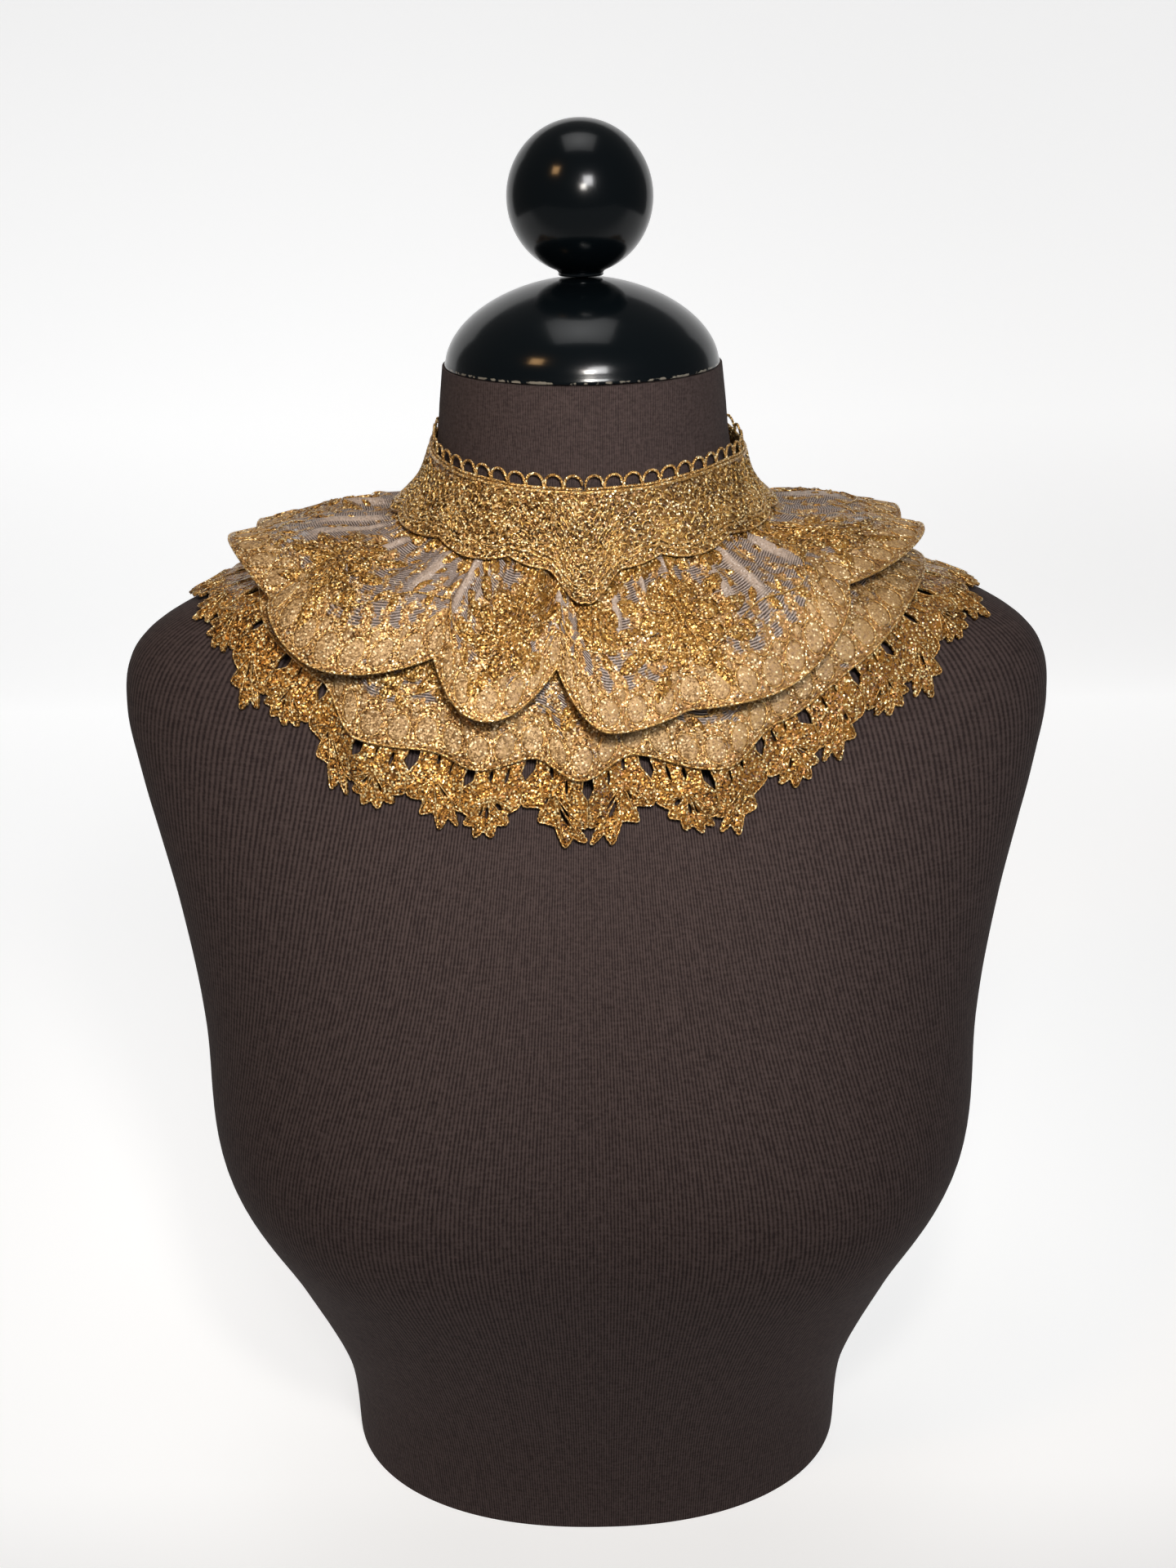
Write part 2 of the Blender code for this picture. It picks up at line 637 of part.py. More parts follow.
def main():
    clear_scene()
    jersey = make_material("ribbed_jersey", (0.022, 0.017, 0.017), 0.9, 0.0)
    lacquer = make_material("black_lacquer", (0.004, 0.005, 0.006), 0.12, 0.0)
    band_lace = make_material("gold_band_lace", (0.45, 0.24, 0.07), 0.38, 0.85)
    tulle_lace = make_material("gold_tulle_lace", (0.48, 0.29, 0.13), 0.45, 0.6)
    guipure = make_material("gold_guipure", (0.42, 0.21, 0.05), 0.38, 0.85)
    brass = make_material("brass_wire", (0.5, 0.33, 0.12), 0.3, 1.0)
    build_form(jersey)
    build_cap_and_ball(lacquer)
    build_band(band_lace)
    build_loops(band_lace)
    build_upper_ruffle(tulle_lace)
    build_lower_ruffle(tulle_lace)
    build_leaf_edging(guipure)
    build_hooks(brass)


main()
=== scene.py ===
"""A gold lace neckpiece on a limbless dress form, dressed over its solid frame.

Lengths are in millimetres until a mesh is made, which scales them to metres. Cloth is laid
over the form: a point has an angle round the neck in degrees (0 at the front, positive
towards +X), a distance down the form from the foot of the neck, and a lift off the form.
"""

from __future__ import annotations

import json
import logging
import math
from dataclasses import dataclass, field
from enum import Enum
from typing import Callable, NamedTuple, Sequence

import bpy
import numpy as np
from mathutils import Matrix, Vector
from mathutils.geometry import delaunay_2d_cdt

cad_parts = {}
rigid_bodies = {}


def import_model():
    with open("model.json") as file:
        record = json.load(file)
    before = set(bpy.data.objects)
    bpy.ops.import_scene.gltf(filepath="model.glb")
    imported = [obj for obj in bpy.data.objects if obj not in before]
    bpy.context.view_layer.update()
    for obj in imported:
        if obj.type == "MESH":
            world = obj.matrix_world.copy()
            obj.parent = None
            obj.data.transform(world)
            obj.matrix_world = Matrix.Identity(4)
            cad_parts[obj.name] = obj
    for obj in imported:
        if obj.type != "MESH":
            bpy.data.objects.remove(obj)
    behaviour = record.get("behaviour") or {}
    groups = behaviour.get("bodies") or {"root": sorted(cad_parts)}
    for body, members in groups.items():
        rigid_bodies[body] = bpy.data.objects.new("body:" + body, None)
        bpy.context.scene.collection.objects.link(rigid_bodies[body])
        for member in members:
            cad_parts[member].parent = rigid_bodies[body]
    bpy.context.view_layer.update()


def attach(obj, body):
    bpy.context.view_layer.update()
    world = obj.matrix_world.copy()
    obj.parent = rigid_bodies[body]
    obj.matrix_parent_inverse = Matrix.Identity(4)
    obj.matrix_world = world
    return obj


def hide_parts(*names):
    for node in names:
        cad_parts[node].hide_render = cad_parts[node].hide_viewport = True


MM = 0.001
BODY = "root"
LOG = logging.getLogger("neckpiece")

Array = np.ndarray
Node = bpy.types.Node
Tree = bpy.types.NodeTree
Socket = bpy.types.NodeSocket
Piece = bpy.types.Object
Material = bpy.types.Material


class Slot(Enum):
    """The record's material slots."""

    JERSEY = "ribbed_jersey"
    LACQUER = "black_lacquer"
    BAND = "gold_band_lace"
    TULLE = "gold_tulle_lace"
    GUIPURE = "gold_guipure"
    BRASS = "brass_wire"


class Outline(Enum):
    """The outlines that a filled motif can have."""

    OVAL = "oval"
    PETAL = "petal"
    LEAF = "leaf"


class Ring(NamedTuple):
    """One level ring of the form; slope tilts it down towards the front."""

    height: float
    half_width: float
    front: float
    back: float
    slope: float
    squareness: float


class Edge(NamedTuple):
    """A distance down the form at an angle."""

    angle: float
    distance: float


class Wave(NamedTuple):
    """A peak or valley of a ruffle's edge."""

    angle: float
    distance: float
    rise: float


class Crease(NamedTuple):
    """One crease of a ruffle: where it runs, how far, how deep and how wide."""

    angle: float
    top: float
    length: float
    depth: float
    width: float


def linear(hex_colour: str) -> tuple[float, float, float, float]:
    """Turns an sRGB hex colour into linear red, green, blue and alpha.

    Args:
        hex_colour: six hex digits, such as "a5824f".

    Returns:
        Linear components with alpha 1.
    """
    parts = [int(hex_colour[index : index + 2], 16) / 255 for index in (0, 2, 4)]
    curve = [part / 12.92 if part <= 0.04045 else ((part + 0.055) / 1.055) ** 2.4 for part in parts]
    return (curve[0], curve[1], curve[2], 1.0)


def smooth_step(value: Array) -> Array:
    """0 below 0, 1 above 1, and the S-curve t²(3 - 2t) between."""
    share = np.clip(value, 0, 1)
    return share * share * (3 - 2 * share)


def ripple(points: Array, pitch: float, seed: int, waves: int = 9) -> Array:
    """Smooth noise: the mean of sines in random directions.

    Args:
        points: (..., n) coordinates.
        pitch: the mean wavelength, in the coordinates' unit.
        seed: picks the directions and phases.
        waves: how many sines are added.

    Returns:
        Values from about -1 to 1.
    """
    source = np.random.default_rng(seed)
    ways = source.normal(size=(waves, points.shape[-1]))
    ways /= np.linalg.norm(ways, axis=1, keepdims=True)
    ways *= 2 * math.pi / (pitch * source.uniform(0.6, 1.6, size=(waves, 1)))
    phases = source.uniform(0, 2 * math.pi, size=waves)
    return np.sin(points @ ways.T + phases).sum(-1) / math.sqrt(waves)


def whole_turn(count: int) -> Array:
    """Even steps once round, in radians."""
    return np.arange(count) * 2 * math.pi / count


def wrapped(angle: Array) -> Array:
    """An angle in radians, brought between -π and π."""
    return (angle + math.pi) % (2 * math.pi) - math.pi


def pairs(along: Array | float, up: Array | float) -> Array:
    """Places on a flat pattern; a single number stands for all of them."""
    return np.stack(np.broadcast_arrays(along, up), -1)


def feed(tree: Tree, node: Node, inputs: dict) -> None:
    """Gives a node's inputs their values and links.

    Args:
        tree: the material's node tree.
        node: the node.
        inputs: input name or index to a value, or to the socket that feeds it, or to a node
            whose first output does.
    """
    for name, value in inputs.items():
        source = value.outputs[0] if isinstance(value, Node) else value
        if isinstance(source, Socket):
            tree.links.new(source, node.inputs[name])
        else:
            node.inputs[name].default_value = source


def add_node(tree: Tree, kind: str, inputs: dict | None = None, **settings: object) -> Node:
    """Adds a shader node with its settings, values and links.

    Args:
        tree: the material's node tree.
        kind: Blender's name for the node type, without its first word ShaderNode.
        inputs: what feed() takes.
        **settings: the node's own properties.

    Returns:
        The new node.
    """
    node = tree.nodes.new(f"ShaderNode{kind}")
    for name, value in settings.items():
        setattr(node, name, value)
    feed(tree, node, inputs or {})
    return node


def new_material(name: str) -> tuple[Material, Tree, Node]:
    """Makes an empty Principled material.

    Args:
        name: the material's name.

    Returns:
        The material, its node tree and its Principled node.
    """
    material = bpy.data.materials.new(name)
    material.use_nodes = True
    return material, material.node_tree, material.node_tree.nodes["Principled BSDF"]


def set_ramp(node: Node, stops: Sequence[tuple[float, str]]) -> None:
    """Gives a colour ramp its stops.

    Args:
        node: the ramp.
        stops: (place, sRGB hex) pairs, at least two.
    """
    elements = node.color_ramp.elements
    while len(elements) < len(stops):
        elements.new(0.5)
    for element, (place, colour) in zip(elements, stops):
        element.position = place
        element.color = linear(colour)


@dataclass(frozen=True)
class MetallicThread:
    """Polyester thread wrapped in metallised film, twisted and stitched densely.

    The film lies at every angle, so the eye sees sparse bright flecks on amber thread; these
    flecks are painted glints, a pale colour painted into the thread's colour at scattered
    spots, while each grain's normal also leans every way. The grains are 0.25 mm on the real
    thread and are drawn as coarse as they need to show. Grain, fleck and stretch are in
    millimetres: the size of one tone, the space between flecks, and the length over which
    the tone drifts.
    """

    name: str
    dark: str
    middle: str
    pale: str
    # The colour of the painted glints: bright flecks painted into the thread's colour.
    painted_glint: str
    flecks: float = 0.4
    grain: float = 0.6
    fleck: float = 1.15
    stretch: float = 13.33
    tilt: float = 0.9
    drift: float = 0.7
    metallic: float = 0.55
    roughness: float = 0.36

    def glitter(self, tree: Tree) -> tuple[Socket, Socket]:
        """Thread seen from near: toned grains that lean every way, and bright painted-glint flecks.

        Args:
            tree: the material's node tree.

        Returns:
            The colour socket and the normal socket.
        """
        place = add_node(tree, "TexCoord").outputs["Object"]
        cells = add_node(tree, "TexVoronoi", {"Vector": place, "Scale": 1 / (self.grain * MM)})
        tones = add_node(tree, "SeparateColor", {"Color": cells.outputs["Color"]})
        wander = add_node(
            tree, "TexNoise", {"Vector": place, "Scale": 1 / (self.stretch * MM), "Detail": 3.0}
        )
        level = add_node(tree, "Math", {0: wander.outputs["Fac"], 1: -0.5}, operation="ADD")
        moved = add_node(tree, "Math", {0: level, 1: self.drift, 2: tones}, operation="MULTIPLY_ADD")
        ramp = add_node(tree, "ValToRGB", {"Fac": moved})
        set_ramp(ramp, [(0.05, self.dark), (0.45, self.middle), (0.95, self.pale)])
        spots = add_node(tree, "TexVoronoi", {"Vector": place, "Scale": 1 / (self.fleck * MM)})
        pick = add_node(tree, "SeparateColor", {"Color": spots.outputs["Color"]})
        near = add_node(
            tree, "MapRange", {"Value": spots.outputs["Distance"], "From Min": 0.46, "From Max": 0.26}
        )
        least = 1 - self.flecks
        chosen = add_node(
            tree, "MapRange", {"Value": pick.outputs[1], "From Min": least - 0.15, "From Max": least + 0.15}
        )
        share = add_node(tree, "Math", {0: near, 1: chosen}, operation="MULTIPLY")
        # Painted glints: the chosen flecks take the pale glint colour in place of the grain's tone.
        colour = add_node(
            tree, "Mix",
            {"Factor": share, "A": ramp.outputs["Color"], "B": linear(self.painted_glint)},
            data_type="RGBA",
        )
        lean = add_node(
            tree, "VectorMath", {0: cells.outputs["Color"], 1: (-0.5, -0.5, -0.5)}, operation="ADD"
        )
        reach = add_node(tree, "VectorMath", {0: lean, "Scale": self.tilt}, operation="SCALE")
        surface = add_node(tree, "NewGeometry")
        tipped = add_node(tree, "VectorMath", {0: surface.outputs["Normal"], 1: reach}, operation="ADD")
        unit = add_node(tree, "VectorMath", {0: tipped}, operation="NORMALIZE")
        return colour.outputs["Result"], unit.outputs[0]

    def make(self) -> Material:
        """Builds the material."""
        material, tree, shader = new_material(self.name)
        colour, normal = self.glitter(tree)
        feed(tree, shader, {"Base Color": colour, "Normal": normal})
        feed(tree, shader, {"Metallic": self.metallic, "Roughness": self.roughness})
        return material


@dataclass(frozen=True)
class EmbroideredTulle:
    """Nylon tulle, see-through and mauve-grey, with areas stitched over in metallic thread.

    The "gold" attribute says how densely it is stitched, and "fold" where a pleat doubles
    the net. The net's ribs are 0.6 mm apart on the real cloth and are drawn 1 mm apart, so
    that they show as its fine parallel lines. The stitching's rim is ragged by rag
    millimetres.
    """

    name: str
    net: str
    rib: str
    doubled: str
    thread: MetallicThread
    net_alpha: float = 0.35
    rib_alpha: float = 0.8
    fold_alpha: float = 0.85
    pitch: float = 1.0
    rag: float = 1.786
    roughness: float = 0.42

    def make(self) -> Material:
        """Builds the material."""
        material, tree, shader = new_material(self.name)
        colour, normal = self.thread.glitter(tree)
        cloth = add_node(tree, "UVMap", uv_map="cloth")
        split = add_node(tree, "SeparateXYZ", {"Vector": cloth.outputs["UV"]})
        turns = add_node(
            tree, "Math", {0: split.outputs[1], 1: 2 * math.pi / self.pitch}, operation="MULTIPLY"
        )
        wave = add_node(tree, "Math", {0: turns}, operation="SINE")
        rib = add_node(tree, "MapRange", {"Value": wave, "From Min": -0.5, "From Max": 0.6})
        gold = add_node(tree, "Attribute", attribute_name="gold")
        fold = add_node(tree, "Attribute", attribute_name="fold")
        place = add_node(tree, "TexCoord").outputs["Object"]
        rag = add_node(tree, "TexNoise", {"Vector": place, "Scale": 1 / (self.rag * MM), "Detail": 2.0})
        ragged = add_node(tree, "Math", {0: rag.outputs["Fac"], 1: gold.outputs["Fac"]}, operation="ADD")
        share = add_node(tree, "MapRange", {"Value": ragged, "From Min": 0.93, "From Max": 1.07})
        shown = linear(self.net)
        for factor, over in (
            (rib, linear(self.rib)),
            (fold.outputs["Fac"], linear(self.doubled)),
            (share, colour),
        ):
            mix = add_node(tree, "Mix", {"Factor": factor, "A": shown, "B": over}, data_type="RGBA")
            shown = mix.outputs["Result"]
        thin = add_node(
            tree, "MapRange", {"Value": rib, "To Min": self.net_alpha, "To Max": self.rib_alpha}
        )
        closed = add_node(tree, "Math", {0: fold.outputs["Fac"], 1: self.fold_alpha}, operation="MULTIPLY")
        covers = add_node(tree, "Math", {0: share, 1: closed}, operation="MAXIMUM")
        alpha = add_node(tree, "Mix", {"Factor": covers, "A": thin, "B": 1.0}, data_type="FLOAT")
        metal = add_node(tree, "Math", {0: share, 1: self.thread.metallic}, operation="MULTIPLY")
        feed(tree, shader, {"Base Color": shown, "Alpha": alpha, "Metallic": metal})
        feed(tree, shader, {"Normal": normal, "Roughness": self.roughness})
        return material


@dataclass(frozen=True)
class RibbedJersey:
    """Cotton jersey knitted in fine vertical ribs, brown-black and matt.

    The ribs are 0.8 mm apart on the real cloth and are drawn 1.7 mm apart, so that they
    show as faint vertical lines; besides their bump, the valleys between them are painted
    darker as painted shade. Uneven yarn gives faint streaks along the ribs and across:
    each streak is its waves per millimetre across the ribs and along them.
    """

    name: str
    # valley: the rib valleys' painted shade, darker than the rib colour.
    valley: str
    rib: str
    pitch: float = 1.7
    fuzz: float = 1.111
    rib_share: float = 0.35
    streaks: tuple[tuple[float, float], ...] = ((0.75, 0.12), (0.14, 0.9))
    streak_share: float = 0.7
    tones: tuple[float, float] = (0.8, 1.6)

    def make(self) -> Material:
        """Builds the material."""
        material, tree, shader = new_material(self.name)
        cloth = add_node(tree, "UVMap", uv_map="cloth")
        split = add_node(tree, "SeparateXYZ", {"Vector": cloth.outputs["UV"]})
        turns = add_node(tree, "Math", {0: split, 1: 2 * math.pi / self.pitch}, operation="MULTIPLY")
        wave = add_node(tree, "Math", {0: turns}, operation="SINE")
        place = add_node(tree, "TexCoord").outputs["Object"]
        fuzz = add_node(tree, "TexNoise", {"Vector": place, "Scale": 1 / (self.fuzz * MM), "Detail": 3.0})
        height = add_node(
            tree, "Math", {0: wave, 1: self.rib_share, 2: fuzz.outputs["Fac"]}, operation="MULTIPLY_ADD"
        )
        tone = height
        for across, along in self.streaks:
            drawn = add_node(
                tree, "VectorMath", {0: cloth.outputs["UV"], 1: (across, along, 1.0)}, operation="MULTIPLY"
            )
            uneven = add_node(tree, "TexNoise", {"Vector": drawn, "Scale": 1.0, "Detail": 2.0})
            tone = add_node(
                tree, "Math", {0: uneven.outputs["Fac"], 1: self.streak_share, 2: tone},
                operation="MULTIPLY_ADD",
            )
        shade = add_node(
            tree, "MapRange", {"Value": tone, "From Min": self.tones[0], "From Max": self.tones[1]}
        )
        # Painted shade: the darker valley colour between the ribs, varied by fuzz and yarn streaks.
        mix = add_node(
            tree, "Mix",
            {"Factor": shade, "A": linear(self.valley), "B": linear(self.rib)}, data_type="RGBA",
        )
        bump = add_node(tree, "Bump", {"Height": height, "Strength": 0.35, "Distance": 0.25 * MM})
        feed(tree, shader, {"Base Color": mix.outputs["Result"], "Normal": bump.outputs["Normal"]})
        feed(tree, shader, {"Roughness": 0.85, "Specular IOR Level": 0.04})
        feed(tree, shader, {"Sheen Weight": 0.01, "Sheen Roughness": 0.5})
        return material


@dataclass(frozen=True)
class BlackLacquer:
    """Turned wood under black lacquer: glossy, with dust, fine wear and a rubbed rim.

    The "wear" attribute is 1 along the rim, where the lacquer has chipped to pale wood.
    Smears and chips are their sizes in millimetres.
    """

    name: str
    base: str
    worn: str
    smear: float = 22.2
    chip: float = 3.03
    gloss: tuple[float, float] = (0.1, 0.26)

    def make(self) -> Material:
        """Builds the material."""
        material, tree, shader = new_material(self.name)
        place = add_node(tree, "TexCoord").outputs["Object"]
        smear = add_node(tree, "TexNoise", {"Vector": place, "Scale": 1 / (self.smear * MM), "Detail": 5.0})
        rough = add_node(
            tree, "MapRange",
            {"Value": smear.outputs["Fac"], "To Min": self.gloss[0], "To Max": self.gloss[1]},
        )
        chips = add_node(tree, "TexNoise", {"Vector": place, "Scale": 1 / (self.chip * MM), "Detail": 2.0})
        wear = add_node(tree, "Attribute", attribute_name="wear")
        where = add_node(
            tree, "Math", {0: chips.outputs["Fac"], 1: wear.outputs["Fac"]}, operation="MULTIPLY"
        )
        share = add_node(tree, "MapRange", {"Value": where, "From Min": 0.46, "From Max": 0.54})
        mix = add_node(
            tree, "Mix", {"Factor": share, "A": linear(self.base), "B": linear(self.worn)}, data_type="RGBA"
        )
        dimple = add_node(
            tree, "Bump", {"Height": smear.outputs["Fac"], "Strength": 0.06, "Distance": 1.0 * MM}
        )
        feed(tree, shader, {"Base Color": mix.outputs["Result"], "Roughness": rough})
        feed(tree, shader, {"Normal": dimple.outputs["Normal"], "Specular IOR Level": 0.2})
        feed(tree, shader, {"Coat Weight": 0.08, "Coat Roughness": 0.06})
        return material


@dataclass(frozen=True)
class Wire:
    """Drawn brass wire, bright, with faint tarnish in stains of 2 mm."""

    name: str
    bright: str
    tarnish: str
    stain: float = 2.0

    def make(self) -> Material:
        """Builds the material."""
        material, tree, shader = new_material(self.name)
        place = add_node(tree, "TexCoord").outputs["Object"]
        stain = add_node(tree, "TexNoise", {"Vector": place, "Scale": 1 / (self.stain * MM), "Detail": 3.0})
        mix = add_node(
            tree, "Mix",
            {"Factor": stain.outputs["Fac"], "A": linear(self.bright), "B": linear(self.tarnish)},
            data_type="RGBA",
        )
        feed(tree, shader, {"Base Color": mix.outputs["Result"], "Metallic": 1.0, "Roughness": 0.28})
        return material


# In each thread the last colour is its painted glint, the pale flecks that stand for glints.
BAND_THREAD = MetallicThread("gold_band_thread", "2a180a", "6b481e", "a67e49", "ffe9b8", flecks=0.44)
CHAIN_THREAD = MetallicThread("gold_chain_stitch", "4f3413", "a07835", "dab372", "fff0c0", flecks=0.55)
RUFFLE_THREAD = MetallicThread("gold_ruffle_thread", "553819", "946b3d", "c19a61", "ffecc0", flecks=0.4)
SATIN_THREAD = MetallicThread(
    "champagne_satin_thread", "705431", "927248", "b19162", "ffe8bd", flecks=0.2, tilt=0.7, drift=0.4,
    metallic=0.2, roughness=0.55,
)
AMBER_THREAD = MetallicThread("amber_flower_thread", "40260c", "83581f", "b58a45", "ffe7ac", flecks=0.42)
GUIPURE_THREAD = MetallicThread("gold_guipure_thread", "301a08", "82531d", "c08a3e", "ffebb0", flecks=0.5)
CORD_THREAD = MetallicThread("gold_cord", "5e3f19", "a67a3c", "d8b170", "fff0c4", flecks=0.5, grain=0.5)
TULLE = EmbroideredTulle("embroidered_tulle", "4f4541", "998980", "9b8a7d", RUFFLE_THREAD)
# Jersey: the first colour is the rib valleys' painted shade, the second the ribs.
JERSEY = RibbedJersey("brown_black_jersey", "272020", "473c3a")
LACQUER = BlackLacquer("black_lacquered_wood", "05090c", "6b665d")
BRASS = Wire("bright_brass", "c9a14a", "8a6a2c")


def add_mesh(name: str, points: Array, quads: Array, triangles: Array | None = None) -> Piece:
    """Makes an object from millimetre points and index arrays.

    Args:
        name: the piece's name.
        points: (n, 3) array.
        quads: (m, 4) array of indices.
        triangles: (k, 3) array of indices, if any.

    Returns:
        The object, at the origin and shaded smooth.
    """
    triangles = np.zeros((0, 3), int) if triangles is None else triangles
    mesh = bpy.data.meshes.new(name)
    mesh.vertices.add(len(points))
    mesh.vertices.foreach_set("co", (points * MM).astype(np.float32).ravel())
    corners = np.concatenate([quads.ravel(), triangles.ravel()]).astype(np.int32)
    sizes = np.concatenate([np.full(len(quads), 4), np.full(len(triangles), 3)])
    mesh.loops.add(len(corners))
    mesh.loops.foreach_set("vertex_index", corners)
    mesh.polygons.add(len(sizes))
    mesh.polygons.foreach_set("loop_start", np.concatenate([[0], np.cumsum(sizes)[:-1]]).astype(np.int32))
    mesh.update(calc_edges=True)
    mesh.validate()
    mesh.shade_smooth()
    made = bpy.data.objects.new(name, mesh)
    bpy.context.scene.collection.objects.link(made)
    return made


def set_values(piece: Piece, name: str, values: Array) -> None:
    """Stores one number for each vertex as an attribute."""
    layer = piece.data.attributes.new(name, "FLOAT", "POINT")
    layer.data.foreach_set("value", values.astype(np.float32).ravel())


def set_cloth_map(piece: Piece, places: Array) -> None:
    """Stores each vertex's place on the cloth, in millimetres, as the UV map "cloth"."""
    layer = piece.data.uv_layers.new(name="cloth")
    corners = np.zeros(len(piece.data.loops), np.int32)
    piece.data.loops.foreach_get("vertex_index", corners)
    layer.data.foreach_set("uv", places[corners].astype(np.float32).ravel())


def dress(piece: Piece, material: Material, slot: Slot, *nodes: str) -> Piece:
    """Gives a piece its material and body, and hides the frame's solids that it stands for.

    Args:
        piece: the piece.
        material: its finish.
        slot: its material slot in the record; not used.
        *nodes: the frame's nodes that it replaces.

    Returns:
        The same piece.
    """
    piece.data.materials.append(material)
    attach(piece, BODY)
    if nodes:
        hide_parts(*nodes)
    return piece


def report(piece: Piece) -> None:
    """Logs a piece and how many faces it has."""
    LOG.info("%s: %d faces", piece.name, len(piece.data.polygons))


def grid_quads(rows: int, columns: int, closed: bool = False) -> Array:
    """Quads of a grid of points stored row by row, first row at the top.

    Args:
        rows: how many rows of points.
        columns: how many points in a row.
        closed: whether each row joins its own start.

    Returns:
        (m, 4) indices that turn anticlockwise seen from outside.
    """
    index = np.arange(rows * columns).reshape(rows, columns)
    if closed:
        index = np.concatenate([index, index[:, :1]], axis=1)
    corners = (index[:-1, :-1], index[1:, :-1], index[1:, 1:], index[:-1, 1:])
    return np.stack([corner.ravel() for corner in corners], -1)


def fans(rows: int, columns: int) -> Array:
    """Triangles that close a grid whose rows are rings.

    Args:
        rows: how many rings, the first at the top.
        columns: how many points in a ring.

    Returns:
        (2 columns, 3) indices: the first ring to the point after the grid, then the last
        ring to the point after that.
    """
    around = np.arange(columns)
    last = (rows - 1) * columns + around
    top = np.full(columns, rows * columns)
    caps = np.stack([around, np.roll(around, -1), top], -1)
    return np.concatenate([caps, np.stack([np.roll(last, -1), last, top + 1], -1)])


def shell_quads(rows: int, columns: int) -> Array:
    """Quads of a closed thin shell: an outer grid, an inner one after it, and the rim.

    Args:
        rows: how many rows of points.
        columns: how many points in a row.

    Returns:
        (m, 4) indices.
    """
    count = rows * columns
    outer = grid_quads(rows, columns)
    index = np.arange(count).reshape(rows, columns)
    rim = np.concatenate([index[:-1, 0], index[-1, :-1], index[:0:-1, -1], index[0, :0:-1]])
    after = np.roll(rim, -1)
    side = np.stack([after, rim, rim + count, after + count], -1)
    return np.concatenate([outer, outer[:, ::-1] + count, side])


